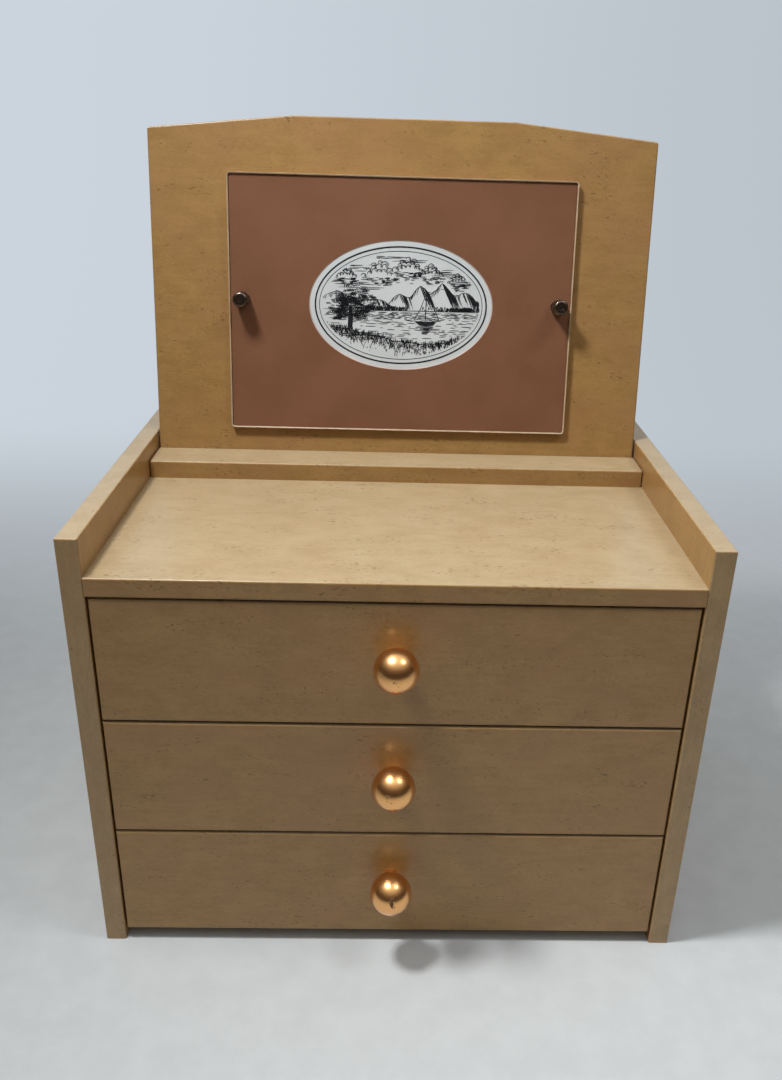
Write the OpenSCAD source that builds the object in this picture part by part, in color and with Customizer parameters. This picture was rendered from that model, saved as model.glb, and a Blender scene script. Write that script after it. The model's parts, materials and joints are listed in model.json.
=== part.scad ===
// Vanity box: a three-drawer cabinet whose top carries an upright board with a picture and mirror plate.
// The origin is on the floor, under the middle of the whole object. +X is right, +Y is back, +Z is up.

/* [Cabinet] */
// Width over both side panels
cabinet_w = 316; // [260:1:400]
// Depth of the side panels
cabinet_d = 220; // [212:1:300]
// Height of the side panels
cabinet_h = 244.5; // [215:0.5:300]
// Thickness of the side panels
side_t = 11; // [9:0.5:15]
// Height of the side panels' rails over the shelf
rail_rise = 20; // [12:0.5:30]
// Thickness of the top shelf
shelf_t = 10; // [8:0.5:14]
// Radius of the eased edges of the visible boards
edge_r = 1; // [0.3:0.1:1.6]
// Length of the ledge strip from front to back, on the shelf
ledge_d = 23.8; // [15:0.2:30]
// Height of the ledge strip
ledge_h = 10.3; // [6:0.1:11]
// Gap between the ledge strip and the board behind it
ledge_back_gap = 0.3; // [0.1:0.1:0.8]
// Gap between each end of the ledge strip and the side panel
ledge_end_gap = 0.8; // [0.2:0.1:0.9]
// Thickness of the back board
back_t = 3; // [2:0.5:6]
// Distance of the back board from the side panels' back edges
back_inset = 1; // [0.5:0.5:4]
// Height of the bottom board's underside over the floor
bottom_lift = 6; // [3:0.5:6.5]
// Distance of the bottom board behind the closed drawer fronts
bottom_front_gap = 0.5; // [0.3:0.1:3]
// Thickness of the bottom board
bottom_t = 7; // [6:0.5:7.5]
// Diameter of the dowels between the boards
dowel_d = 4; // [3:0.5:5]
// Length of each dowel in the side panel
dowel_in_side = 7; // [4:0.5:8]
// Length of each dowel in the shelf or bottom board
dowel_in_board = 12; // [8:1:20]
// Distance of the dowels from the front and back edges of their board
dowel_inset = 35; // [20:1:60]

/* [Drawer fronts] */
// Height of the lowest front's lower edge over the floor
foot_gap = 7.5; // [7:0.5:20]
// Gap between one front and the next, and under the shelf
front_gap = 1.4; // [0.8:0.1:3]
// Gap between each end of a front and the side panel
front_end_gap = 1.1; // [0.6:0.1:1.4]
// Thickness of a front
front_t = 12; // [9:0.5:16]
// Distance of the fronts behind the side panels' front edges
front_recess = 0.5; // [0:0.1:2]

/* [Drawer boxes] */
// Thickness of the drawer sides and backs
box_t = 9; // [7:0.5:12]
// Height of the drawer sides
box_h = 46; // [30:1:46]
// Height of the drawer backs
box_back_h = 40; // [25:1:46]
// Height of the sides' lower edges over the front's lower edge
box_lift = 10; // [9.5:0.5:12]
// Gap between a drawer side and the side panel
box_side_gap = 1.5; // [1:0.1:3]
// Room behind a closed drawer
drawer_back_gap = 8; // [2:0.5:20]
// Thickness of a drawer bottom
drawer_floor_t = 3; // [2:0.5:4]
// Thickness of the felt lining
lining_t = 1; // [0.5:0.1:2]
// Gap round the lining
lining_gap = 0.2; // [0.1:0.1:1]

/* [Runners] */
// Height of a runner
runner_h = 9; // [6:0.5:12]
// Height of the runner's lower face over the drawer sides' lower edges
runner_rise = 19; // [12:0.5:22]
// Depth of the groove in a drawer side
groove_d = 4; // [2.5:0.1:5]
// Running gap between a drawer and its runners
running_gap = 0.3; // [0.1:0.05:0.5]
// Diameter of a runner screw's shank
runner_screw_d = 3; // [2:0.1:3.5]
// Diameter of a runner screw's head
runner_head_d = 5.6; // [4:0.1:6]
// Length of a runner screw in the side panel
runner_screw_depth = 7; // [5:0.5:8]
// Distance of the runner screws from the runner's ends
runner_screw_inset = 25; // [10:1:60]

/* [Drawer knobs] */
// Diameter of the ball
ball_d = 22.3; // [16:0.1:25]
// Distance of the ball's centre from the front
ball_reach = 13; // [11.5:0.1:20]
// Height of the knob over the middle of its front
knob_rise = 5.5; // [0:0.5:15]
// Diameter of the neck
neck_d = 9; // [7:0.5:14]
// Diameter of the knob screw's shank
knob_screw_d = 4; // [3:0.1:5]
// Length of the knob screw in the knob
knob_screw_depth = 8; // [5:0.5:10]
// Diameter of the knob screw's head
knob_head_d = 7.6; // [6:0.1:9]
// Height of the knob screw's head
knob_head_h = 2.4; // [1.5:0.1:3]

/* [Upright board] */
// Distance of the board's face from the front of the cabinet, at the shelf
board_y = 160; // [140:0.5:165]
// Lean of the board from upright, in degrees
board_lean = 9.2; // [0:0.1:12]
// Gap between each edge of the board and the side panel
board_end_gap = 1; // [0.4:0.1:2]
// Thickness of the board
board_t = 10; // [9:0.5:14]
// Height of the board's outer corners along its face
shoulder_h = 193.4; // [180:0.2:230]
// Height of the board's flat top along its face
crown_h = 201.7; // [196:0.1:240]
// Width of the board's flat top
crown_w = 127; // [60:1:200]
// Radius of the board's outer corners
shoulder_r = 2.5; // [1.5:0.1:8]
// Radius of the corners between the slopes and the flat top
crown_r = 12; // [2:1:20]
// Width of a support block
block_w = 25; // [16:1:40]
// Depth of a support block
block_t = 22; // [12:1:26]
// Height of a support block
block_h = 60; // [50:1:90]
// Distance of each support block's middle from the middle of the board
block_x = 100; // [60:1:120]
// Height of the lower block screws, along the board
block_screw_low = 20; // [12:1:22]
// Height of the upper block screws, along the board
block_screw_high = 44; // [34:1:46]
// Diameter of a block screw's shank
block_screw_d = 3.6; // [2.5:0.1:4]
// Diameter of a block screw's head
block_head_d = 7; // [5:0.1:8]
// Height of a block screw's head
block_head_h = 2.2; // [1.5:0.1:3]
// Length of a block screw in the board
block_screw_depth = 6.5; // [4:0.5:7.5]

/* [Picture and mirror plate] */
// Width of the plate
plate_w = 202.6; // [200:0.2:240]
// Height of the plate
plate_h = 146; // [120:1:160]
// Height of the plate's lower edge over the shelf, along the board
plate_rise = 24.5; // [16:0.5:30]
// Gap between the plate and the board
plate_gap = 0.2; // [0.1:0.05:1]
// Radius of the plate's corners
plate_r = 2; // [1.2:0.1:5]
// Width of the rim
rim_w = 0.7; // [0.6:0.1:3]
// Distance of the glass behind the rim's front edge
glass_recess = 0.3; // [0.3:0.1:2]
// Thickness of the picture glass
glass_t = 1; // [1:0.1:3]
// Thickness of the mat
mat_t = 0.4; // [0.4:0.1:2]
// Thickness of the print
print_t = 0.2; // [0.2:0.1:1]
// Thickness of the rim's inner flange
flange_t = 0.4; // [0.4:0.1:1]
// Reach of the rim's inner flange
flange_w = 1.5; // [0.8:0.1:2]
// Thickness of the mirror
mirror_t = 1; // [1:0.1:3]
// Distance of the mirror behind the rim's rear edge
mirror_recess = 0.1; // [0.1:0.1:1]
// Gap round the glass, the mat, the print and the mirror
layer_gap = 0.1; // [0.05:0.05:0.3]
// Width of the mat's oval window
window_w = 108.8; // [80:0.2:130]
// Height of the mat's oval window
window_h = 74.6; // [50:0.2:100]
// Height of the window's middle over the plate's middle
window_rise = 0.9; // [-5:0.1:5]

/* [Thumb screws] */
// Distance of each thumb screw from the middle of the plate
thumb_x = 93.2; // [80:0.1:95]
// Height of the thumb screws over the plate's middle
thumb_rise = 2.4; // [-10:0.1:10]
// Diameter of the head
thumb_d = 9; // [7:0.1:10]
// Height of the head
thumb_h = 12; // [6:0.5:16]
// Diameter of the shank
thumb_shank_d = 4; // [3:0.1:5]
// Length of the shank in its insert
thumb_depth = 6; // [4:0.5:6.5]
// Gap round the shank in its insert
thumb_gap = 0.08; // [0.03:0.01:0.1]
// Gap round the shank in the plate
plate_hole_gap = 0.4; // [0.2:0.1:0.6]
// Number of flutes round the head
flute_count = 20; // [14:1:30]
// Depth of each flute
flute_d = 0.35; // [0.2:0.05:0.5]
// Plain band at each end of the head
flute_end = 1.2; // [0.5:0.1:2]
// Gap between the head and the glass
thumb_rest = 0.1; // [0.05:0.05:0.3]
// Outer diameter of the threaded insert
insert_d = 6.4; // [6:0.1:8]
// Length of the threaded insert
insert_l = 7.5; // [6.5:0.1:9]

/* [Pins] */
// Diameter of a back pin's shank
pin_d = 1.4; // [1:0.1:2]
// Length of a back pin in its board
pin_depth = 9; // [6:1:15]
// Diameter of a back pin's head
pin_head_d = 3.2; // [2.5:0.1:4]
// Height of a back pin's head
pin_head_h = 0.6; // [0.4:0.1:0.8]
// Distance of the outer pins from the side panels
pin_inset = 22; // [10:1:40]
// Gap round pins, dowels and screws in their holes
fixing_gap = 0.05; // [0.02:0.01:0.1]

/* [Hidden] */

$fn = 48;
left = -1;
right = 1;
levels = [0, 1, 2];
arc_steps = 6;
oval_steps = 120;
over = 1;
room = 600;
wood = "#a98a5c";
ply = "#c9a873";
felt = "#5a2a2a";
gold = "#c98a5e";
steel = "#8f9296";
bronze = "#4a3d34";

// Widths and heights inside the cabinet
inner_w = cabinet_w - 2 * side_t;
shelf_z = cabinet_h - rail_rise;
front_pitch = (shelf_z - shelf_t - foot_gap) / len(levels);
front_w = inner_w - 2 * front_end_gap;
front_h = front_pitch - front_gap;
// The back board's front face, where the shelf, the bottom board and the runners end
back_y = cabinet_d - back_inset - back_t;
// The rear face of a closed front, where its drawer box begins
box_y = front_recess + front_t;
box_end = back_y - drawer_back_gap;
box_w = inner_w - 2 * box_side_gap;
box_inner_w = box_w - 2 * box_t;
runner_t = box_side_gap + groove_d - running_gap;
runner_y = box_y + running_gap;
// The whole object reaches from the balls to the cabinet's back
front_y = (ball_reach + ball_d / 2 - front_recess - cabinet_d) / 2;
board_w = inner_w - 2 * board_end_gap;
// The middle heights of the shelf and the bottom board, for their dowels and pins
board_zs = [shelf_z - shelf_t / 2, bottom_lift + bottom_t / 2];
pin_span = inner_w - 2 * pin_inset;
pin_xs = [-pin_span / 2, -pin_span / 6, pin_span / 6, pin_span / 2];
block_screw_zs = [block_screw_low, block_screw_high];
// Distances from the upright board's face, with minus to the front
plate_t = glass_recess + glass_t + mat_t + print_t + flange_t + mirror_t + mirror_recess;
plate_front = -plate_gap - plate_t;
glass_front = plate_front + glass_recess;
mat_front = glass_front + glass_t;
print_front = mat_front + mat_t;
flange_front = print_front + print_t;
mirror_front = flange_front + flange_t;
window_centre = [0, window_rise];

function level_z(level) = foot_gap + level * front_pitch;
function box_z(level) = level_z(level) + box_lift;
function runner_z(level) = box_z(level) + runner_rise;
function knob_z(level) = level_z(level) + front_h / 2 + knob_rise;
function unit(v) = v / norm(v);

// The points of a rounded corner at b, between its neighbours a and c, on an outline that runs anticlockwise
function corner(a, b, c, r) =
    let (
        u = unit(a - b),
        v = unit(c - b),
        half = acos(u * v) / 2,
        centre = b + unit(u + v) * r / sin(half),
        start = b + u * r / tan(half) - centre,
        from = atan2(start.y, start.x),
        turn = (180 - 2 * half) / arc_steps
    )
    [for (i = [0:arc_steps]) centre + r * [cos(from + i * turn), sin(from + i * turn)]];

// An outline with a radius for each corner, where 0 leaves the corner sharp
function rounded(points, radii) =
    let (n = len(points))
    [for (i = [0:n - 1])
        let (before = points[(i + n - 1) % n], after = points[(i + 1) % n])
        each radii[i] > 0 ? corner(before, points[i], after, radii[i]) : [points[i]]
    ];

function rectangle(w, h) = [[0, 0], [w, 0], [w, h], [0, h]];
function centred(w, h) = [[-w, -h] / 2, [w, -h] / 2, [w, h] / 2, [-w, h] / 2];

// A board with eased edges, given as radii of its outline's corners seen from above, from the front and from
// the right, each from the lower left corner round anticlockwise
module eased_board(size, above = [0, 0, 0, 0], front = [0, 0, 0, 0], side = [0, 0, 0, 0]) {
    intersection() {
        linear_extrude(size.z) polygon(rounded(rectangle(size.x, size.y), above));
        translate([0, size.y, 0])
            rotate([90, 0, 0])
            linear_extrude(size.y)
            polygon(rounded(rectangle(size.x, size.z), front));
        rotate([90, 0, 90]) linear_extrude(size.x) polygon(rounded(rectangle(size.y, size.z), side));
    }
}

// Children are placed with y measured from the side panels' front edges
module in_cabinet() {
    translate([0, front_y, 0]) children();
}

// Children are drawn for the right side, and mirrored for the left
module on_side(side) {
    mirror([side == left ? 1 : 0, 0, 0]) children();
}

// A round bar or hole along +X from its start, or along +Y
module along_x(start, d, l) {
    translate(start) rotate([0, 90, 0]) cylinder(d = d, h = l);
}

module along_y(start, d, l) {
    translate(start) rotate([-90, 0, 0]) cylinder(d = d, h = l);
}

// Children are placed on the upright board: z runs up its face, y from its face to its back, from the shelf
module on_board() {
    in_cabinet() translate([0, board_y, shelf_z]) rotate([-board_lean, 0, 0]) children();
}

// Cuts what stands on the shelf along the shelf's surface
module above_shelf() {
    difference() {
        children();
        rotate([board_lean, 0, 0]) translate([-room, -room, -room]) cube([2 * room, 2 * room, room]);
    }
}

// Children are placed on the plate: the middle of the plate on the board's face
module on_plate() {
    on_board() translate([0, 0, plate_rise + plate_h / 2]) children();
}

// One layer of the plate between two distances from the board's face
module layer(points, front, rear) {
    translate([0, rear, 0]) rotate([90, 0, 0]) linear_extrude(rear - front) polygon(points);
}

// A sheet inside the rim, with a hole for each thumb screw
module sheet(front, t) {
    w = plate_w - 2 * (rim_w + layer_gap);
    h = plate_h - 2 * (rim_w + layer_gap);
    r = max(plate_r - rim_w - layer_gap, 0.1);
    hole_d = thumb_shank_d + 2 * plate_hole_gap;
    difference() {
        layer(rounded(centred(w, h), [r, r, r, r]), front, front + t);
        for (side = [left, right])
            along_y([side * thumb_x, front - over, thumb_rise], hole_d, t + 2 * over);
    }
}

// Dowels that join the shelf and the bottom board to the side panels
module dowels(extra) {
    l = dowel_in_side + dowel_in_board + 2 * extra;
    for (y = [box_y + dowel_inset, back_y - dowel_inset], z = board_zs, side = [left, right])
        on_side(side)
            along_x([inner_w / 2 - dowel_in_board - extra, y, z], dowel_d + 2 * extra, l);
}

// Pins through the back board into the shelf and the bottom board
module pins(extra) {
    for (x = pin_xs, z = board_zs)
        along_y([x, back_y - pin_depth - extra, z], pin_d + 2 * extra, pin_depth + back_t + 2 * extra);
}

// Screws through a runner into the right side panel
module runner_screw_holes(extra) {
    for (level = levels, y = [runner_y + runner_screw_inset, back_y - runner_screw_inset])
        along_x(
            [inner_w / 2 - runner_t - extra, y, runner_z(level) + runner_h / 2],
            runner_screw_d + 2 * extra,
            runner_t + runner_screw_depth + 2 * extra
        );
}

// The countersunk heads of those screws, flush with the runner's face
module runner_screw_heads(extra) {
    h = (runner_head_d - runner_screw_d) / 2;
    for (level = levels, y = [runner_y + runner_screw_inset, back_y - runner_screw_inset])
        translate([inner_w / 2 - runner_t, y, runner_z(level) + runner_h / 2])
            rotate([0, 90, 0])
            cylinder(d1 = runner_head_d + 2 * extra, d2 = runner_screw_d + 2 * extra, h = h);
}

module side_panel(side) {
    color(wood) on_side(side) in_cabinet() difference() {
        translate([inner_w / 2, 0, 0])
            eased_board(
                [side_t, cabinet_d, cabinet_h],
                above = [edge_r, edge_r, edge_r, edge_r],
                front = [0, 0, edge_r, edge_r],
                side = [0, 0, edge_r, edge_r]
            );
        dowels(fixing_gap);
        runner_screw_holes(fixing_gap);
    }
}

module top_shelf() {
    color(wood) in_cabinet() difference() {
        translate([-inner_w / 2, 0, shelf_z - shelf_t])
            eased_board([inner_w, back_y, shelf_t], side = [edge_r, 0, 0, edge_r]);
        dowels(fixing_gap);
        pins(fixing_gap);
    }
}

// The strip's rear face leans like the board behind it
module ledge() {
    w = inner_w - 2 * ledge_end_gap;
    foot_d = ledge_d - ledge_back_gap;
    top_d = foot_d + ledge_h * tan(board_lean);
    outline = [[0, 0], [foot_d, 0], [top_d, ledge_h], [0, ledge_h]];
    color(wood)
        in_cabinet()
        translate([-w / 2, board_y - ledge_d, shelf_z])
        rotate([90, 0, 90])
        linear_extrude(w)
        polygon(rounded(outline, [0, 0, 0, edge_r]));
}

module bottom_board() {
    color(ply) in_cabinet() difference() {
        translate([-inner_w / 2, box_y + bottom_front_gap, bottom_lift])
            cube([inner_w, back_y - box_y - bottom_front_gap, bottom_t]);
        dowels(fixing_gap);
        pins(fixing_gap);
    }
}

module back_board() {
    color(ply) in_cabinet() difference() {
        translate([-inner_w / 2, back_y, bottom_lift]) cube([inner_w, back_t, shelf_z - bottom_lift]);
        pins(fixing_gap);
    }
}

module board_dowels() {
    color(ply) in_cabinet() dowels(0);
}

module back_pins() {
    color(steel) in_cabinet() {
        pins(0);
        for (x = pin_xs, z = board_zs)
            along_y([x, back_y + back_t, z], pin_head_d, pin_head_h);
    }
}

// Everything inside a straight edge from p to q of the upright board, with the edge eased at the face and back
module inside_edge(p, q) {
    angle = atan2(q.y - p.y, q.x - p.x);
    translate([p.x, 0, p.y])
        rotate([0, -angle, 0])
        translate([-room / 2, 0, 0])
        rotate([90, 0, 90])
        linear_extrude(room + norm(q - p))
        polygon(rounded(rectangle(board_t, room), [edge_r, edge_r, 0, 0]));
}

module mirror_board() {
    w = board_w / 2;
    c = crown_w / 2;
    outline = [[-w, -board_t], [w, -board_t], [w, shoulder_h], [c, crown_h], [-c, crown_h], [-w, shoulder_h]];
    color(wood) on_board() above_shelf() difference() {
        intersection() {
            layer(rounded(outline, [0, 0, shoulder_r, crown_r, crown_r, shoulder_r]), 0, board_t);
            intersection_for (i = [1:5])
                inside_edge(outline[i], outline[(i + 1) % 6]);
        }
        translate([0, 0, plate_rise + plate_h / 2])
            for (side = [left, right])
                along_y([side * thumb_x, -over, thumb_rise], insert_d + 2 * fixing_gap, insert_l + over);
        block_screw_shanks(fixing_gap);
    }
}

module block_screw_shanks(extra) {
    for (side = [left, right], z = block_screw_zs)
        along_y(
            [side * block_x, board_t - block_screw_depth - extra, z],
            block_screw_d + 2 * extra,
            block_screw_depth + block_t + 2 * extra
        );
}

// Countersunk heads, flush with the block's rear face
module block_screw_heads(extra) {
    for (side = [left, right], z = block_screw_zs)
        translate([side * block_x, board_t + block_t - block_head_h, z])
            rotate([-90, 0, 0])
            cylinder(d1 = block_screw_d + 2 * extra, d2 = block_head_d + 2 * extra, h = block_head_h);
}

module support_block(side) {
    color(wood) on_board() above_shelf() difference() {
        translate([side * block_x - block_w / 2, board_t, -block_t]) cube([block_w, block_t, block_h + block_t]);
        block_screw_shanks(fixing_gap);
        block_screw_heads(fixing_gap);
    }
}

module block_screws() {
    color(steel) on_board() {
        block_screw_shanks(0);
        block_screw_heads(0);
    }
}

module insert(side) {
    color(gold) on_plate() difference() {
        along_y([side * thumb_x, 0, thumb_rise], insert_d, insert_l);
        along_y([side * thumb_x, -over, thumb_rise], thumb_shank_d + 2 * thumb_gap, insert_l + 2 * over);
    }
}

module runner(level, side) {
    color(ply) on_side(side) in_cabinet() difference() {
        translate([inner_w / 2 - runner_t, runner_y, runner_z(level)])
            cube([runner_t, back_y - runner_y, runner_h]);
        runner_screw_holes(fixing_gap);
        runner_screw_heads(fixing_gap);
    }
}

module runner_screws() {
    color(steel) for (side = [left, right]) on_side(side) in_cabinet() {
        runner_screw_holes(0);
        runner_screw_heads(0);
    }
}

module drawer_front(level) {
    hole_d = knob_screw_d + 2 * fixing_gap;
    color(wood) in_cabinet() difference() {
        translate([-front_w / 2, front_recess, level_z(level)])
            eased_board(
                [front_w, front_t, front_h],
                above = [edge_r, edge_r, 0, 0],
                side = [edge_r, 0, 0, edge_r]
            );
        along_y([0, front_recess - over, knob_z(level)], hole_d, front_t + 2 * over);
    }
}

module drawer_side(level, side) {
    color(ply) on_side(side) in_cabinet() difference() {
        translate([box_inner_w / 2, box_y, box_z(level)]) cube([box_t, box_end - box_y, box_h]);
        translate([box_w / 2 - groove_d, box_y - over, runner_z(level) - running_gap])
            cube([groove_d + over, box_end - box_y + 2 * over, runner_h + 2 * running_gap]);
    }
}

module drawer_back(level) {
    color(ply)
        in_cabinet()
        translate([-box_inner_w / 2, box_end - box_t, box_z(level)])
        cube([box_inner_w, box_t, box_back_h]);
}

module drawer_floor(level) {
    color(ply)
        in_cabinet()
        translate([-box_w / 2, box_y, box_z(level) - drawer_floor_t])
        cube([box_w, box_end - box_y, drawer_floor_t]);
}

module drawer_lining(level) {
    color(felt)
        in_cabinet()
        translate([lining_gap - box_inner_w / 2, box_y + lining_gap, box_z(level)])
        cube([box_inner_w - 2 * lining_gap, box_end - box_t - box_y - 2 * lining_gap, lining_t]);
}

module drawer_knob(level) {
    color(gold) in_cabinet() translate([0, front_recess, knob_z(level)]) difference() {
        union() {
            translate([0, -ball_reach, 0]) rotate([90, 0, 0]) sphere(d = ball_d, $fn = 96);
            along_y([0, -ball_reach, 0], neck_d, ball_reach);
        }
        along_y([0, -knob_screw_depth - over, 0], knob_screw_d + 2 * fixing_gap, knob_screw_depth + 2 * over);
    }
}

module drawer_knob_screw(level) {
    color(steel) in_cabinet() translate([0, front_recess, knob_z(level)]) {
        along_y([0, -knob_screw_depth, 0], knob_screw_d, knob_screw_depth + front_t + knob_head_h / 2);
        along_y([0, front_t, 0], knob_head_d, knob_head_h);
    }
}

// A thin frame with a flange between the picture and the mirror
module plate_rim() {
    hole_w = plate_w - 2 * rim_w;
    hole_h = plate_h - 2 * rim_w;
    r = max(plate_r - rim_w, 0.1);
    hole = rounded(centred(hole_w, hole_h), [r, r, r, r]);
    outline = rounded(centred(plate_w, plate_h), [plate_r, plate_r, plate_r, plate_r]);
    color("wheat") on_plate() difference() {
        layer(outline, plate_front, -plate_gap);
        layer(hole, plate_front - over, flange_front);
        layer(hole, mirror_front, over);
        layer(centred(hole_w - 2 * flange_w, hole_h - 2 * flange_w), plate_front, over);
    }
}

module picture_glass() {
    color([0.9, 0.95, 1, 0.2]) on_plate() sheet(glass_front, glass_t);
}

module picture_mat() {
    window = [for (i = [0:oval_steps - 1])
        [window_w / 2 * cos(360 * i / oval_steps), window_h / 2 * sin(360 * i / oval_steps)] + window_centre
    ];
    color("#7a503c") on_plate() difference() {
        sheet(mat_front, mat_t);
        layer(window, mat_front - over, mat_front + mat_t + over);
    }
}

module picture_print() {
    color("white") on_plate() sheet(print_front, print_t);
}

module mirror_glass() {
    color("silver") on_plate() sheet(mirror_front, mirror_t);
}

// A fluted head on a plain shank, which stands for the screw's thread
module thumb_screw(side) {
    flute_l = thumb_h - 2 * flute_end;
    color(bronze) on_plate() translate([side * thumb_x, glass_front, thumb_rise]) {
        difference() {
            along_y([0, -thumb_h, 0], thumb_d, thumb_h - thumb_rest);
            for (i = [1:flute_count])
                rotate([0, 360 * i / flute_count, 0])
                    along_y([thumb_d / 2, flute_end - thumb_h, 0], 2 * flute_d, flute_l);
        }
        along_y([0, -thumb_h / 2, 0], thumb_shank_d, thumb_h / 2 - glass_front + thumb_depth);
    }
}

side_panel(left);  // side_panel_left
side_panel(right);  // side_panel_right
top_shelf();
ledge();
bottom_board();
back_board();
board_dowels();
back_pins();
mirror_board();
support_block(left);  // support_block_left
support_block(right);  // support_block_right
block_screws();
insert(left);  // insert_left
insert(right);  // insert_right
runner(0, left);  // runner_bottom_left
runner(0, right);  // runner_bottom_right
runner(1, left);  // runner_middle_left
runner(1, right);  // runner_middle_right
runner(2, left);  // runner_top_left
runner(2, right);  // runner_top_right
runner_screws();
drawer_front(0);  // drawer_bottom_front
drawer_side(0, left);  // drawer_bottom_side_left
drawer_side(0, right);  // drawer_bottom_side_right
drawer_back(0);  // drawer_bottom_back
drawer_floor(0);  // drawer_bottom_floor
drawer_lining(0);  // drawer_bottom_lining
drawer_knob(0);  // drawer_bottom_knob
drawer_knob_screw(0);  // drawer_bottom_knob_screw
drawer_front(1);  // drawer_middle_front
drawer_side(1, left);  // drawer_middle_side_left
drawer_side(1, right);  // drawer_middle_side_right
drawer_back(1);  // drawer_middle_back
drawer_floor(1);  // drawer_middle_floor
drawer_lining(1);  // drawer_middle_lining
drawer_knob(1);  // drawer_middle_knob
drawer_knob_screw(1);  // drawer_middle_knob_screw
drawer_front(2);  // drawer_top_front
drawer_side(2, left);  // drawer_top_side_left
drawer_side(2, right);  // drawer_top_side_right
drawer_back(2);  // drawer_top_back
drawer_floor(2);  // drawer_top_floor
drawer_lining(2);  // drawer_top_lining
drawer_knob(2);  // drawer_top_knob
drawer_knob_screw(2);  // drawer_top_knob_screw
plate_rim();
picture_glass();
picture_mat();
picture_print();
mirror_glass();
thumb_screw(left);  // thumb_screw_left
thumb_screw(right);  // thumb_screw_right
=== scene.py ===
"""Looks of the vanity box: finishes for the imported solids, a few finer pieces, and the studio."""

import json
import logging
import math
import random
from dataclasses import dataclass, field
from enum import Enum

import bmesh
import bpy
from mathutils import Matrix, Vector


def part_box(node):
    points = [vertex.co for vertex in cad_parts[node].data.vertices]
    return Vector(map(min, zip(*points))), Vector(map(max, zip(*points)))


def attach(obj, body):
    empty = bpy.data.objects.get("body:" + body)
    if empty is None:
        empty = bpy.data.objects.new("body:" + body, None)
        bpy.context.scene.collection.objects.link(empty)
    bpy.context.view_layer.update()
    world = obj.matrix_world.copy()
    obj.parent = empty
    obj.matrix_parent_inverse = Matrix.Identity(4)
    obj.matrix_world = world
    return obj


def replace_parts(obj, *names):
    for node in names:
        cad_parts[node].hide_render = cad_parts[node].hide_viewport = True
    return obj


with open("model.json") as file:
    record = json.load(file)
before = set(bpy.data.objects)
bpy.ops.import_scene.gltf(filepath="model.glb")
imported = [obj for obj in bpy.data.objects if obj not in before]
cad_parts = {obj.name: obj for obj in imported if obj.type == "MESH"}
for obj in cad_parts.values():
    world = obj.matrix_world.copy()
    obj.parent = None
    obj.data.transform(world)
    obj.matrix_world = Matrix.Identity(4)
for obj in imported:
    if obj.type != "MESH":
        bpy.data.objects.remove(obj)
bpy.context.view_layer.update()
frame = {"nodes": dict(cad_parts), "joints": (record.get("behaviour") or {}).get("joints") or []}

LOG = logging.getLogger("vanity_box")
MM = 0.001
TURN = 2 * math.pi
QUARTER = math.pi / 2
SIDES = ("left", "right")
LEVELS = ("bottom", "middle", "top")

Triple = tuple[float, float, float]
Pair = tuple[float, float]
Faces = list[tuple[int, ...]]


class Grain(Enum):
    """The direction in which a board's grain runs."""

    ACROSS = (1.0, 0.0, 0.0)
    DEEP = (0.0, 1.0, 0.0)
    UPRIGHT = (0.0, 0.0, 1.0)

    def stretched(self, along: float, across: float) -> Triple:
        """Returns a scale for coordinates that draws a pattern out along the grain."""
        return tuple(along if share else across for share in self.value)


class Wire:
    """The output of a node, with which sums can be written."""

    def __init__(self, recipe: "Recipe", socket: bpy.types.NodeSocket) -> None:
        """Keeps the socket and the recipe that it belongs to."""
        self.recipe = recipe
        self.socket = socket

    def beside(self, output: str | int) -> "Wire":
        """Returns another output of the same node."""
        return Wire(self.recipe, self.socket.node.outputs[output])

    def _maths(self, operation: str, first: "Number", second: "Number") -> "Wire":
        """Returns the result of one Math node on two numbers."""
        return self.recipe.node("ShaderNodeMath", {"operation": operation}, {0: first, 1: second})

    def __add__(self, other: "Number") -> "Wire":
        """Returns this plus the other."""
        return self._maths("ADD", self, other)

    def __sub__(self, other: "Number") -> "Wire":
        """Returns this less the other."""
        return self._maths("SUBTRACT", self, other)

    def __rsub__(self, other: "Number") -> "Wire":
        """Returns the other less this."""
        return self._maths("SUBTRACT", other, self)

    def __mul__(self, other: "Number") -> "Wire":
        """Returns this times the other."""
        return self._maths("MULTIPLY", self, other)

    def __pow__(self, other: "Number") -> "Wire":
        """Returns this to the power of the other."""
        return self._maths("POWER", self, other)

    def __gt__(self, other: "Number") -> "Wire":
        """Returns one where this is the larger, and nothing elsewhere."""
        return self._maths("GREATER_THAN", self, other)

    __radd__ = __add__
    __rmul__ = __mul__


Number = Wire | float


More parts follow.
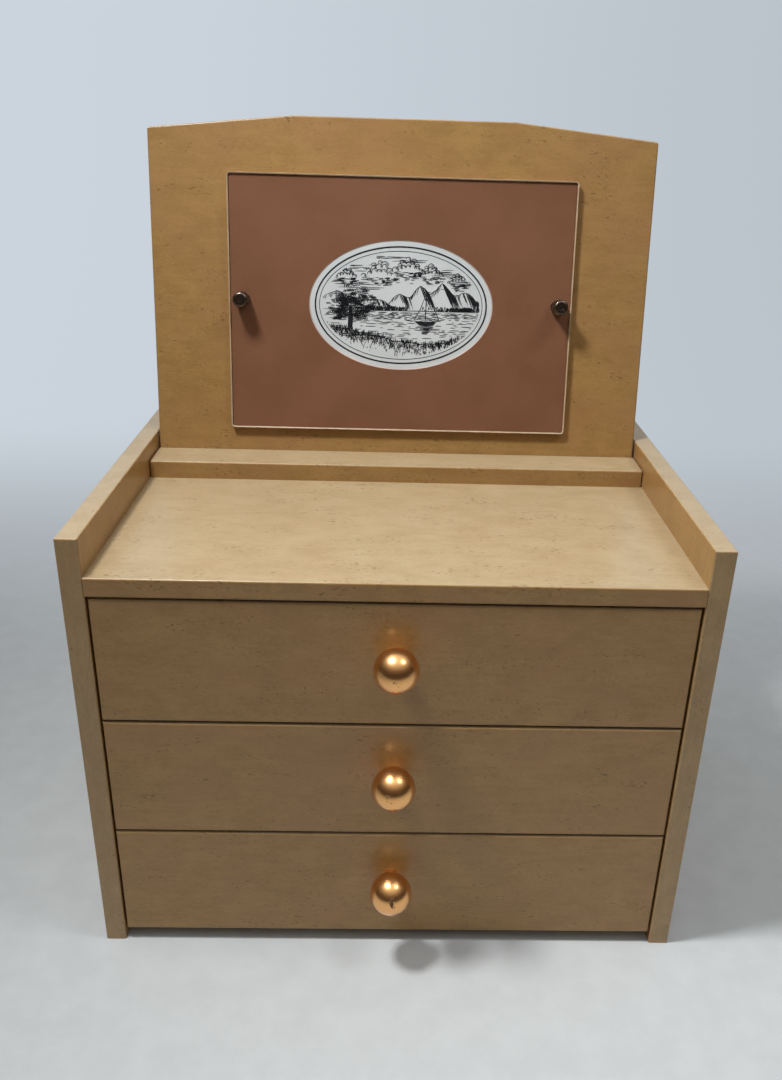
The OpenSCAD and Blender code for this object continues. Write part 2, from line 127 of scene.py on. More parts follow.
class Recipe:
    """The nodes of a material, or of the room's light, that are being put together."""

    MIX_FACTOR, MIX_FIRST, MIX_SECOND, MIX_RESULT = 0, 6, 7, 2

    def __init__(self, owner: bpy.types.Material | bpy.types.World) -> None:
        """Starts with no nodes.

        Args:
            owner: The material or the world that the nodes belong to.
        """
        owner.use_nodes = True
        self.tree = owner.node_tree
        self.tree.nodes.clear()

    def _add(
        self,
        kind: str,
        settings: dict[str, object],
        sockets: dict[str | int, object],
    ) -> bpy.types.Node:
        """Adds one node and returns it. Its settings are set before its sockets.

        Args:
            kind: The node's type.
            settings: Its properties, which are set first.
            sockets: A value or a wire for each of its inputs.

        Returns:
            The node.
        """
        made = self.tree.nodes.new(kind)
        for name, value in settings.items():
            if name == "stops":
                self._set_stops(made.color_ramp, value)
            else:
                setattr(made, name, value)
        for key, value in sockets.items():
            if isinstance(value, Wire):
                self.tree.links.new(value.socket, made.inputs[key])
            else:
                made.inputs[key].default_value = value
        return made

    def node(
        self,
        kind: str,
        settings: dict[str, object] | None = None,
        sockets: dict[str | int, object] | None = None,
        output: str | int = 0,
    ) -> Wire:
        """Adds one node.

        Args:
            kind: The node's type.
            settings: Its properties, which are set first. A ramp's stops are (place, colour) pairs.
            sockets: A value or a wire for each of its inputs.
            output: The output that is wanted.

        Returns:
            That output.
        """
        return Wire(self, self._add(kind, settings or {}, sockets or {}).outputs[output])

    def end(self, kind: str, shader: Wire) -> None:
        """Ends the tree with an output node of that kind, which takes the shader."""
        self._add(kind, {}, {"Surface": shader})

    @staticmethod
    def _set_stops(ramp: bpy.types.ColorRamp, stops: tuple[tuple[float, Triple], ...]) -> None:
        """Gives a ramp its stops.

        Args:
            ramp: The ramp.
            stops: The place and the colour of each stop.
        """
        while len(ramp.elements) < len(stops):
            ramp.elements.new(1.0)
        for element, (place, colour) in zip(ramp.elements, stops):
            element.position = place
            element.color = (*colour, 1.0)

    @staticmethod
    def _full(value: object) -> object:
        """Returns a triple as a colour with full cover, and anything else as it is."""
        return (*value, 1.0) if isinstance(value, tuple) else value

    def place(self, scale: Triple = (1, 1, 1), shift: Triple = (0, 0, 0)) -> Wire:
        """Returns the object's own coordinates, in metres, times a scale and plus a shift."""
        at = self.node("ShaderNodeTexCoord", output="Object")
        return self.node(
            "ShaderNodeVectorMath",
            {"operation": "MULTIPLY_ADD"},
            {0: at, 1: scale, 2: shift},
        )

    def cells(self, count: float, shift: Triple = (0, 0, 0)) -> Wire:
        """Returns the place in even cells, of which there are so many to a metre."""
        return self.place((count, count, count), shift)

    def parts_of(self, vector: Wire) -> tuple[Wire, Wire, Wire]:
        """Returns the three parts of a vector."""
        first = self.node("ShaderNodeSeparateXYZ", sockets={0: vector})
        return first, first.beside(1), first.beside(2)

    def noise(self, at: Wire, detail: float = 2.0, roughness: float = 0.5) -> Wire:
        """Returns a soft noise between nothing and one, at a scale of one."""
        return self.node(
            "ShaderNodeTexNoise",
            sockets={"Vector": at, "Scale": 1.0, "Detail": detail, "Roughness": roughness},
        )

    def between(self, value: Number, low: float, high: float) -> Wire:
        """Returns nothing under low and one over high, with a smooth step in the middle."""
        return self.node(
            "ShaderNodeMapRange",
            {"interpolation_type": "SMOOTHSTEP"},
            {"Value": value, "From Min": low, "From Max": high},
        )

    def specks(self, at: Wire, size: float, share: float) -> Wire:
        """Returns scattered spots.

        Args:
            at: The place, in which the cells of the pattern are about one across.
            size: The radius of a spot, in cells.
            share: The share of the cells that have a spot.

        Returns:
            One in the middle of each spot and nothing outside.
        """
        distance = self.node("ShaderNodeTexVoronoi", sockets={"Vector": at, "Scale": 1.0})
        chosen = self.parts_of(distance.beside("Color"))[0] > 1 - share
        return (1 - self.between(distance, size * 0.5, size)) * chosen

    def blend(self, factor: Number, first: "Colour", second: "Colour") -> Wire:
        """Returns a colour between the first and the second."""
        sockets = {
            self.MIX_FACTOR: factor,
            self.MIX_FIRST: self._full(first),
            self.MIX_SECOND: self._full(second),
        }
        return self.node("ShaderNodeMix", {"data_type": "RGBA"}, sockets, self.MIX_RESULT)

    def relief(self, height: Wire, depth: float, strength: float = 1.0) -> Wire:
        """Returns a normal for a surface with that relief, whose height of one is depth metres."""
        sockets = {"Height": height, "Distance": depth, "Strength": strength}
        return self.node("ShaderNodeBump", sockets=sockets)

    def surface(self, **sockets: object) -> Wire:
        """Adds the shader.

        Args:
            sockets: Its inputs by name, with _ for a space. A triple is a colour.

        Returns:
            The shader's output.
        """
        named = {}
        for name, value in sockets.items():
            words = (word if word == "IOR" else word.capitalize() for word in name.split("_"))
            named[" ".join(words)] = self._full(value)
        return self.node("ShaderNodeBsdfPrincipled", sockets=named)


Colour = Wire | Triple


@dataclass(frozen=True)
class Finish:
    """What a surface is covered with."""

    name: str

    def shader(self, recipe: Recipe) -> Wire:
        """Builds the finish in a recipe and returns its shader."""
        raise NotImplementedError

    def material(self) -> bpy.types.Material:
        """Returns the finish as a material, which is made once.

        Returns:
            The material.
        """
        known = bpy.data.materials.get(self.name)
        if known is None:
            known = bpy.data.materials.new(self.name)
            recipe = Recipe(known)
            recipe.end("ShaderNodeOutputMaterial", self.shader(recipe))
        return known


@dataclass(frozen=True)
class MapleFoil(Finish):
    """Tan maple foil with fine streaks and small dark eyes, under a semi-gloss lacquer.

    The foil is painted paler where it faces up, and partly where it faces the front: painted
    light. The pairs say how many cells a pattern has to a metre, along the grain and across it.
    """

    grain: Grain = Grain.ACROSS
    light: Triple = (0.384, 0.226, 0.078)
    dark: Triple = (0.304, 0.172, 0.056)
    # painted light: the paler tones painted on faces that look up, for the light that falls on them
    painted_lit_light: Triple = (0.436, 0.336, 0.202)
    painted_lit_dark: Triple = (0.370, 0.276, 0.155)
    rose: Triple = (0.350, 0.184, 0.078)
    pale: Triple = (0.420, 0.280, 0.140)
    eye: Triple = (0.095, 0.048, 0.022)
    # painted light: the share of the paler, lit tones painted on faces that look to the front
    front_painted_share: float = 0.0
    shift: Triple = (0.0, 0.0, 0.0)
    streaks: Pair = (60, 380)
    fibres: Pair = (420, 1500)
    clouds: Pair = (60, 90)
    blushes: Pair = (26, 34)
    flocks: Pair = (34, 110)
    eyes: Pair = (380, 760)

    def _at(self, recipe: Recipe, cells: Pair, move: float = 0.0) -> Wire:
        """Returns the place on the sheet, for a pattern that is drawn out along the grain.

        Args:
            recipe: The material that is being made.
            cells: How many cells the pattern has to a metre, along the grain and across it.
            move: How far the pattern is moved, in cells.

        Returns:
            The place.
        """
        shift = tuple(part + move for part in self.shift)
        return recipe.place(self.grain.stretched(*cells), shift)

    def _painted_light(self, recipe: Recipe) -> Wire:
        """Returns where the foil is painted paler, as painted light, by the way its faces turn.

        Args:
            recipe: The material that is being made.

        Returns:
            Nothing where no light is painted, and one where the lit tones are painted in full.
        """
        turned = (0.5, 0.95)
        faces = recipe.node("ShaderNodeTexCoord", output="Normal")
        _, forward, upward = recipe.parts_of(faces)
        painted_lit = recipe.between(upward, *turned)
        if self.front_painted_share > 0:
            painted_lit = painted_lit + self.front_painted_share * recipe.between(0 - forward, *turned)
        return painted_lit

    def _eyes(self, recipe: Recipe, flock: Wire, move: float) -> Wire:
        """Returns small spots that stand in flocks."""
        spots = recipe.noise(self._at(recipe, self.eyes, move), 2)
        return recipe.between(spots, 0.58, 0.70) * flock

    def shader(self, recipe: Recipe) -> Wire:
        """Builds the foil and its lacquer.

        Args:
            recipe: The material that is being made.

        Returns:
            The shader's output.
        """
        streak = recipe.noise(self._at(recipe, self.streaks), 3)
        fibre = recipe.noise(self._at(recipe, self.fibres), 3, 0.7)
        cloud = recipe.noise(self._at(recipe, self.clouds), 4, 0.6)
        tone = recipe.between(streak * 0.2 + fibre * 0.4 + cloud * 0.4, 0.38, 0.62)
        # painted light: paler where the foil faces up, and partly where it faces the front
        painted_lit = self._painted_light(recipe)
        colour = recipe.blend(
            painted_lit,
            recipe.blend(tone, self.dark, self.light),
            recipe.blend(tone, self.painted_lit_dark, self.painted_lit_light),
        )
        blush = recipe.between(recipe.noise(self._at(recipe, self.blushes, 3.3), 4), 0.42, 0.66)
        colour = recipe.blend(blush * (0.45 - 0.35 * painted_lit), colour, self.rose)
        flock = recipe.noise(self._at(recipe, self.flocks), 3, 0.6)
        flock = recipe.between(flock, 0.48, 0.64)
        glints = self._eyes(recipe, flock, 0.35)
        ticks = recipe.between(recipe.noise(self._at(recipe, self.fibres, 7.0), 1), 0.70, 0.78)
        marks = self._eyes(recipe, flock, 0.0) * 0.56 + ticks * 0.34
        colour = recipe.blend(glints * 0.3, colour, self.pale)
        colour = recipe.blend(marks, colour, self.eye)
        height = fibre * 0.4 + cloud * 2.0 - marks
        return recipe.surface(
            base_color=colour,
            roughness=0.40 + 0.12 * fibre,
            normal=recipe.relief(height, 0.04 * MM, 0.6),
            specular_IOR_level=0.2,
            coat_weight=0.65 - 0.3 * marks,
            coat_roughness=0.31,
            coat_IOR=1.5,
        )


@dataclass(frozen=True)
class BareWood(Finish):
    """Sanded wood or plywood, whose layers show at its edges.

    The pairs say how many cells a pattern has to a metre, along the grain and across it. The
    layers are stacked in the direction layers, each is layer metres thick, and ply is how
    strongly they show.
    """

    grain: Grain = Grain.DEEP
    light: Triple = (0.66, 0.49, 0.30)
    dark: Triple = (0.47, 0.31, 0.165)
    layers: Grain = Grain.ACROSS
    layer: float = 1.5 * MM
    ply: float = 0.0
    streaks: Pair = (9, 190)
    fibres: Pair = (120, 2200)
    pores: Pair = (240, 1600)

    def shader(self, recipe: Recipe) -> Wire:
        """Builds the grain, the pores and the layers.

        Args:
            recipe: The material that is being made.

        Returns:
            The shader's output.
        """
        streak = recipe.noise(recipe.place(self.grain.stretched(*self.streaks)), 3)
        fibre = recipe.noise(recipe.place(self.grain.stretched(*self.fibres)), 2, 0.6)
        pores = recipe.specks(recipe.place(self.grain.stretched(*self.pores)), 0.28, 0.3)
        figure = recipe.between(streak * 0.6 + fibre * 0.4, 0.34, 0.66)
        colour = recipe.blend(figure, self.dark, self.light)
        colour = recipe.blend(pores * 0.35, colour, self.dark)
        if self.ply > 0:
            colour = recipe.blend(self._glue_lines(recipe) * self.ply, colour, self.dark)
        return recipe.surface(
            base_color=colour,
            roughness=0.62 + 0.16 * fibre,
            normal=recipe.relief(fibre * 0.5 - pores, 0.08 * MM, 0.7),
            specular_IOR_level=0.35,
        )

    def _glue_lines(self, recipe: Recipe) -> Wire:
        """Returns one in every other layer and nothing in those between.

        Args:
            recipe: The material that is being made.

        Returns:
            That pattern.
        """
        scale = tuple(share / self.layer for share in self.layers.value)
        across = recipe.parts_of(recipe.place(scale))[list(Grain).index(self.layers)]
        ridge = recipe.node("ShaderNodeMath", {"operation": "PINGPONG"}, {0: across, 1: 1.0})
        return recipe.between(ridge, 0.40, 0.62)


@dataclass(frozen=True)
class FibreBoard(Finish):
    """Smooth brown board pressed from fine fibres."""

    light: Triple = (0.33, 0.205, 0.112)
    dark: Triple = (0.21, 0.122, 0.064)
    flakes: Triple = (420, 420, 700)

    def shader(self, recipe: Recipe) -> Wire:
        """Builds the fibres and the darker flakes.

        Args:
            recipe: The material that is being made.

        Returns:
            The shader's output.
        """
        fluff = recipe.noise(recipe.cells(900), 3, 0.7)
        cloud = recipe.noise(recipe.cells(18), 2)
        flakes = recipe.specks(recipe.place(self.flakes), 0.34, 0.25)
        tone = recipe.between(fluff * 0.6 + cloud * 0.4, 0.36, 0.64)
        colour = recipe.blend(tone, self.dark, self.light)
        return recipe.surface(
            base_color=recipe.blend(flakes * 0.4, colour, self.dark),
            roughness=0.55 + 0.2 * fluff,
            normal=recipe.relief(fluff, 0.06 * MM, 0.6),
            specular_IOR_level=0.4,
        )


@dataclass(frozen=True)
class Felt(Finish):
    """Short wine red felt with a little lint."""

    light: Triple = (0.25, 0.032, 0.040)
    dark: Triple = (0.13, 0.014, 0.020)
    lint: Triple = (0.5, 0.3, 0.3)
    lint_cells: Triple = (260, 420, 300)

    def shader(self, recipe: Recipe) -> Wire:
        """Builds the tangle of fibres and the fuzz on top.

        Args:
            recipe: The material that is being made.

        Returns:
            The shader's output.
        """
        tangle = recipe.noise(recipe.cells(2600), 3, 0.7)
        cloud = recipe.noise(recipe.cells(60), 2)
        lint = recipe.specks(recipe.place(self.lint_cells), 0.12, 0.12)
        tone = recipe.between(tangle * 0.7 + cloud * 0.3, 0.34, 0.66)
        colour = recipe.blend(tone, self.dark, self.light)
        return recipe.surface(
            base_color=recipe.blend(lint * 0.35, colour, self.lint),
            roughness=0.92,
            normal=recipe.relief(tangle, 0.35 * MM, 0.8),
            specular_IOR_level=0.2,
            sheen_weight=0.5,
            sheen_roughness=0.4,
        )


@dataclass(frozen=True)
class Metal(Finish):
    """Bare or plated metal with fine scratches and duller patches."""

    colour: Triple = (0.8, 0.8, 0.8)
    stain: Triple = (0.4, 0.4, 0.4)
    roughness: float = 0.25
    tarnish: float = 0.3
    scratches: Triple = (500, 4000, 500)

    def shader(self, recipe: Recipe) -> Wire:
        """Builds the scratches and the duller patches.

        Args:
            recipe: The material that is being made.

        Returns:
            The shader's output.
        """
        scratch = recipe.noise(recipe.place(self.scratches), 2, 0.6)
        patch = recipe.noise(recipe.cells(240), 2)
        worn = recipe.between(patch, 0.45, 0.75) * self.tarnish
        return recipe.surface(
            base_color=recipe.blend(worn, self.colour, self.stain),
            metallic=1.0 - 0.25 * worn,
            roughness=self.roughness + 0.12 * scratch + 0.15 * worn,
            normal=recipe.relief(scratch, 0.01 * MM, 0.5),
        )


@dataclass(frozen=True)
class BallPlating(Finish):
    """Rose gold plating with a few dark pits on the front, and a worn streak if it has one.

    The middle and the radius of the ball are in metres. The pits and the streak have their places
    in radii from the middle.
    """

    middle: Triple = (0.0, 0.0, 0.0)
    radius: float = 11.15 * MM
    colour: Triple = (0.90, 0.455, 0.145)
    bare: Triple = (0.035, 0.020, 0.014)
    pits_from: Pair = (0.0, 0.0)
    pits_size: float = 0.25
    streak: float = 0.0
    streak_x: float = 0.05
    streak_wander: float = 0.35
    streak_foot: Pair = (0.02, 0.12)
    streak_top: Pair = (0.42, 0.66)
    wander_cells: Triple = (520, 520, 260)

    def _worn_streak(self, recipe: Recipe, x: Wire, z: Wire, front: Wire) -> Wire:
        """Returns an uneven upright line where the plating is worn.

        Args:
            recipe: The material that is being made.
            x: The place to the right, in radii.
            z: The place upwards, in radii.
            front: One on the front half of the ball.

        Returns:
            How much the plating is worn.
        """
        wander = recipe.noise(recipe.place(self.wander_cells), 3, 0.8)
        off = (x - self.streak_x + (wander - 0.5) * self.streak_wander) ** 2
        line = 1 - recipe.between(off, 0.002, 0.014)
        length = recipe.between(z, *self.streak_foot) * (1 - recipe.between(z, *self.streak_top))
        return line * length * front * self.streak * (wander + 0.35)

    def shader(self, recipe: Recipe) -> Wire:
        """Builds the plating, its pits and the streak.

        Args:
            recipe: The material that is being made.

        Returns:
            The shader's output.
        """
        scale = 1 / self.radius
        shift = tuple(-part * scale for part in self.middle)
        x, y, z = recipe.parts_of(recipe.cells(scale, shift))
        haze = recipe.noise(recipe.cells(420), 3, 0.6)
        wide = (x - self.pits_from[0]) ** 2 + (z - self.pits_from[1]) ** 2
        near = 1 - recipe.between(wide, 0.2 * self.pits_size**2, self.pits_size**2)
        front = recipe.between(0 - y, 0.0, 0.2)
        pits = recipe.specks(recipe.cells(1000, shift), 0.48, 0.42) * near * front
        if self.streak > 0:
            pits = recipe.between(pits + self._worn_streak(recipe, x, z, front), 0.35, 0.6)
        return recipe.surface(
            base_color=recipe.blend(pits * 0.92, self.colour, self.bare),
            metallic=1.0 - 0.7 * pits,
            roughness=0.22 + 0.06 * haze + 0.4 * pits,
            normal=recipe.relief(haze * 0.3 - pits, 0.05 * MM, 0.5),
            coat_weight=0.6 - 0.6 * pits,
            coat_roughness=0.30,
            coat_IOR=1.8,
        )


@dataclass(frozen=True)
class SatinPaint(Finish):
    """Satin cream paint on metal."""

    light: Triple = (0.56, 0.42, 0.28)
    dark: Triple = (0.45, 0.33, 0.21)

    def shader(self, recipe: Recipe) -> Wire:
        """Builds the paint with faint handling marks.

        Args:
            recipe: The material that is being made.

        Returns:
            The shader's output.
        """
        rub = recipe.noise(recipe.cells(150), 3, 0.6)
        peel = recipe.noise(recipe.cells(1800), 1)
        return recipe.surface(
            base_color=recipe.blend(recipe.between(rub, 0.35, 0.7), self.dark, self.light),
            roughness=0.36 + 0.1 * rub,
            normal=recipe.relief(peel, 0.01 * MM, 0.4),
            coat_weight=0.3 + 0.1 * rub,
            coat_roughness=0.2,
        )


@dataclass(frozen=True)
class MatBoard(Finish):
    """Picture board with a fine tooth, and the shine of the glass that it is seen through."""

    light: Triple = (0.245, 0.108, 0.056)
    dark: Triple = (0.210, 0.090, 0.045)
    gloss: float = 1.0

    def shader(self, recipe: Recipe) -> Wire:
        """Builds the paper's tooth and the shine of the glass over it.

        Args:
            recipe: The material that is being made.

        Returns:
            The shader's output.
        """
        tooth = recipe.noise(recipe.cells(2400), 2, 0.7)
        cloud = recipe.noise(recipe.cells(30), 2)
        tone = recipe.between(tooth * 0.5 + cloud * 0.5, 0.38, 0.62)
        return recipe.surface(
            base_color=recipe.blend(tone, self.dark, self.light),
            roughness=0.8 + 0.1 * tooth,
            specular_IOR_level=0.25,
            coat_weight=self.gloss - 0.02 * cloud,
            coat_roughness=0.03,
            coat_IOR=1.5,
        )


@dataclass(frozen=True)
class Glass(Finish):
    """Clear glass, nearly unseen, with a faint tint."""

    tint: Triple = (0.05, 0.06, 0.055)

    def shader(self, recipe: Recipe) -> Wire:
        """Builds the glass with a trace of dust.

        Args:
            recipe: The material that is being made.

        Returns:
            The shader's output.
        """
        dust = recipe.specks(recipe.cells(300), 0.08, 0.1)
        return recipe.surface(
            base_color=self.tint,
            roughness=0.02,
            alpha=0.035 + 0.1 * dust,
            specular_IOR_level=0.5,
        )


@dataclass(frozen=True)
class Silvering(Finish):
    """A polished mirror with a trace of haze."""

    silver: Triple = (0.86, 0.89, 0.90)

    def shader(self, recipe: Recipe) -> Wire:
        """Builds the mirror.

        Args:
            recipe: The material that is being made.

        Returns:
            The shader's output.
        """
        haze = recipe.noise(recipe.cells(70), 2)
        return recipe.surface(
            base_color=self.silver,
            metallic=1.0,
            roughness=0.01 + 0.02 * haze,
        )


@dataclass(frozen=True)
class StudioPaper(Finish):
    """Pale paper, painted dark far in front of the object as painted shade, and a pale wall behind
    it.

    The fade, the spread and the depth are the places in metres between which the floor is painted
    darker, the wall's glow is painted from brighter on the left to dimmer on the right, and the
    floor turns into the wall.
    """

    floor: Triple = (0.55, 0.58, 0.595)
    fleck: float = 1.06
    # painted shade: the floor far in front is dark brown, standing in for the dim room that the
    # balls reflect
    far: Triple = (0.055, 0.042, 0.033)
    fade: Pair = (-1.1, -0.68)
    # painted light: the wall glows brighter on the left than on the right
    left: Triple = (0.60, 0.66, 0.72)
    right: Triple = (0.49, 0.54, 0.59)
    spread: Pair = (-0.7, 0.9)
    depth: Pair = (0.05, 0.9)

    def shader(self, recipe: Recipe) -> Wire:
        """Builds the paper, and the colour that is seen on the wall by the camera or in gloss.

        Args:
            recipe: The material that is being made.

        Returns:
            The shader's output.
        """
        fleece = recipe.noise(recipe.cells(55), 4, 0.6)
        x, y, _ = recipe.parts_of(recipe.place())
        flecked = tuple(part * self.fleck for part in self.floor)
        tone = recipe.blend(recipe.between(fleece, 0.3, 0.7), self.floor, flecked)
        # painted shade: the floor darkens far in front
        tone = recipe.blend(recipe.between(y, *self.fade), self.far, tone)
        paper = recipe.surface(base_color=tone, roughness=0.9, specular_IOR_level=0.1)
        # painted light: the wall's glow runs from brighter on the left to dimmer on the right
        wall = recipe.blend(recipe.between(x, *self.spread), self.left, self.right)
        glow = recipe.node("ShaderNodeEmission", sockets={"Color": wall, "Strength": 1.0})
        rays = recipe.node("ShaderNodeLightPath", output="Is Camera Ray")
        seen = rays + rays.beside("Is Glossy Ray") + rays.beside("Is Transmission Ray")
        share = recipe.between(y, *self.depth) * recipe.between(seen, 0.0, 1.0)
        return recipe.node("ShaderNodeMixShader", sockets={0: share, 1: paper, 2: glow})


def make_piece(
    name: str,
    points: list[Vector],
    faces: Faces,
    finish: Finish,
    place: Matrix | None = None,
    smooth: float = 35.0,
) -> bpy.types.Object:
    """Makes an object from points and faces.

    Args:
        name: The object's name.
        points: The points, in the piece's own frame.
        faces: The faces, as numbers of points.
        finish: What the piece is covered with.
        place: From the piece's own frame to the row frame.
        smooth: The angle in degrees under which neighbouring faces shade as one.

    Returns:
        The object, with its mesh in the row frame.
    """
    mesh = bpy.data.meshes.new(name)
    placed = points if place is None else [place @ point for point in points]
    mesh.from_pydata([tuple(point) for point in placed], [], faces)
    sheet = bmesh.new()
    sheet.from_mesh(mesh)
    bmesh.ops.recalc_face_normals(sheet, faces=sheet.faces)
    sheet.to_mesh(mesh)
    sheet.free()
    for polygon in mesh.polygons:
        polygon.use_smooth = True
    mesh.set_sharp_from_angle(angle=math.radians(smooth))
    mesh.materials.append(finish.material())
    piece = bpy.data.objects.new(name, mesh)
    bpy.context.scene.collection.objects.link(piece)
    LOG.info("%s has %d faces", name, len(mesh.polygons))
    return piece


def dress(finish: Finish, *nodes: str) -> None:
    """Gives CAD nodes a finish.

    Args:
        finish: What the nodes are covered with.
        nodes: The nodes' names.
    """
    for node in nodes:
        for slot in frame["nodes"][node].material_slots:
            slot.material = finish.material()
        LOG.info("%s is finished in %s", node, finish.name)


def tube_faces(rings: int, sides: int, closed: bool) -> Faces:
    """Returns the faces of a tube.

    Args:
        rings: The number of its rings of points.
        sides: The number of points in a ring.
        closed: Whether the last ring joins the first. Otherwise both ends are capped.

    Returns:
        The faces, as numbers of points that are counted ring by ring.
    """
    faces = []
    for ring in range(rings if closed else rings - 1):
        near, far = ring * sides, (ring + 1) % rings * sides
        for side in range(sides):
            turn = (side + 1) % sides
            faces.append((near + side, near + turn, far + turn, far + side))
    if not closed:
        faces.append(tuple(range(sides)))
        faces.append(tuple((rings - 1) * sides + side for side in range(sides)))
    return faces


def rounded_outline(left: float, low: float, right: float, high: float, r: float) -> list[Pair]:
    """Returns the outline of a rectangle with rounded corners.

    Args:
        left: Its left side.
        low: Its lower side.
        right: Its right side.
        high: Its upper side.
        r: The radius of its corners.

    Returns:
        The points, anticlockwise.
    """
    steps = 6
    middles = (
        (right - r, high - r),
        (left + r, high - r),
        (left + r, low + r),
        (right - r, low + r),
    )
    points = []
    for corner, (u, v) in enumerate(middles):
        for step in range(steps + 1):
            turn = QUARTER * (corner + step / steps)
            points.append((u + r * math.cos(turn), v + r * math.sin(turn)))
    return points


def pierced_slab(
    rings: list[list[Triple]],
    bores: list[list[Triple]],
) -> tuple[list[Vector], Faces]:
    """Makes a slab with through holes.

    Args:
        rings: The outline at each step from the front face to the back one.
        bores: For each hole, its edge on the front face and then on the back one.

    Returns:
        The points and the faces.
    """
    sheet = bmesh.new()

    def loop(ring: list[Triple]) -> list[bmesh.types.BMVert]:
        """Adds a closed line of points.

        Args:
            ring: The points.

        Returns:
            The points as the sheet has them.
        """
        spots = [sheet.verts.new(point) for point in ring]
        for first, second in zip(spots, spots[1:] + spots[:1]):
            sheet.edges.new((first, second))
        return spots

    def wall(first: list[bmesh.types.BMVert], second: list[bmesh.types.BMVert]) -> None:
        """Joins two lines of points by a band of faces.

        Args:
            first: The one line.
            second: The other line, with as many points.
        """
        for i in range(len(first)):
            j = (i + 1) % len(first)
            sheet.faces.new((first[i], first[j], second[j], second[i]))

    def cap(*lines: list[bmesh.types.BMVert]) -> None:
        """Fills the flat area between an outline and its holes.

        Args:
            lines: The outline, and the edge of each hole.
        """
        edges = [
            sheet.edges.get((first, second))
            for line in lines
            for first, second in zip(line, line[1:] + line[:1])
        ]
        bmesh.ops.triangle_fill(sheet, use_beauty=True, edges=edges)

    outlines = [loop(ring) for ring in rings]
    edges = [loop(bore) for bore in bores]
    for first, second in zip(outlines, outlines[1:]):
        wall(first, second)
    for front, back in zip(edges[::2], edges[1::2]):
        wall(front, back)
    cap(outlines[0], *edges[::2])
    cap(outlines[-1], *edges[1::2])
    sheet.verts.index_update()
    points = [vert.co.copy() for vert in sheet.verts]
    faces = [tuple(vert.index for vert in face.verts) for face in sheet.faces]
    sheet.free()
    return points, faces


ZINC = Metal("zinc_plate", (0.62, 0.64, 0.66), (0.42, 0.43, 0.44), 0.28, 0.4)


@dataclass
class Cabinet:
    """The fixed boards, with their runners and fixings."""

    runner_tint: Triple = (0.62, 0.43, 0.25)

    def build(self) -> None:
        """Dresses the boards, the runners and the small fixings."""
        upright = MapleFoil(
            "maple_foil_upright",
            Grain.UPRIGHT,
            # painted light: the front edges get part of the paler, lit tones
            front_painted_share=0.4,
            shift=(3.1, 0.7, 1.9),
        )
        dress(upright, "side_panel_left", "side_panel_right")
        dress(MapleFoil("maple_foil_shelf"), "top_shelf")
        dress(MapleFoil("maple_foil_ledge", shift=(5.3, 2.2, 0.4)), "ledge")
        dress(FibreBoard("fibre_board"), "back_board")
        plywood = BareWood(
            "plywood_boards",
            Grain.ACROSS,
            layers=Grain.UPRIGHT,
            layer=1.4 * MM,
            ply=0.45,
        )
        dress(plywood, "bottom_board")
        beech = BareWood("beech", light=self.runner_tint)
        dress(beech, "board_dowels")
        dress(beech, *(f"runner_{level}_{side}" for level in LEVELS for side in SIDES))
        dress(ZINC, "back_pins", "runner_screws", "block_screws")


@dataclass
class Drawer:
    """One drawer: its front, its plywood box, its lining and its ball knob.

    The pits on the ball have their middle and their reach in radii of the ball.
    """

    level: str
    shift: Triple
    pits_from: Pair
    pits_size: float
    streak: float = 0.0

    def build(self) -> None:
        """Dresses the drawer."""
        name = f"drawer_{self.level}"
        dress(MapleFoil(f"maple_foil_{name}", shift=self.shift), f"{name}_front")
        boards = BareWood(f"plywood_{name}_sides", layers=Grain.ACROSS, ply=0.6)
        dress(boards, f"{name}_side_left", f"{name}_side_right")
        back = BareWood("plywood_backs", Grain.ACROSS, layers=Grain.DEEP, ply=0.6)
        dress(back, f"{name}_back")
        floor = BareWood("plywood_floors", layers=Grain.UPRIGHT, layer=1.0 * MM, ply=0.5)
        dress(floor, f"{name}_floor")
        dress(Felt("felt_lining_wine"), f"{name}_lining")
        low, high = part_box(f"{name}_knob")
        radius = (high.x - low.x) / 2
        plating = BallPlating(
            f"rose_gold_{self.level}",
            (0.0, low.y + radius, (low.z + high.z) / 2),
            radius,
            pits_from=self.pits_from,
            pits_size=self.pits_size,
            streak=self.streak,
        )
        dress(plating, f"{name}_knob")
        dress(ZINC, f"{name}_knob_screw")


@dataclass
class Stroke:
    """One pen line, in millimetres from the middle of the oval, with its width at the thickest."""

    points: list[Pair]
    width: float


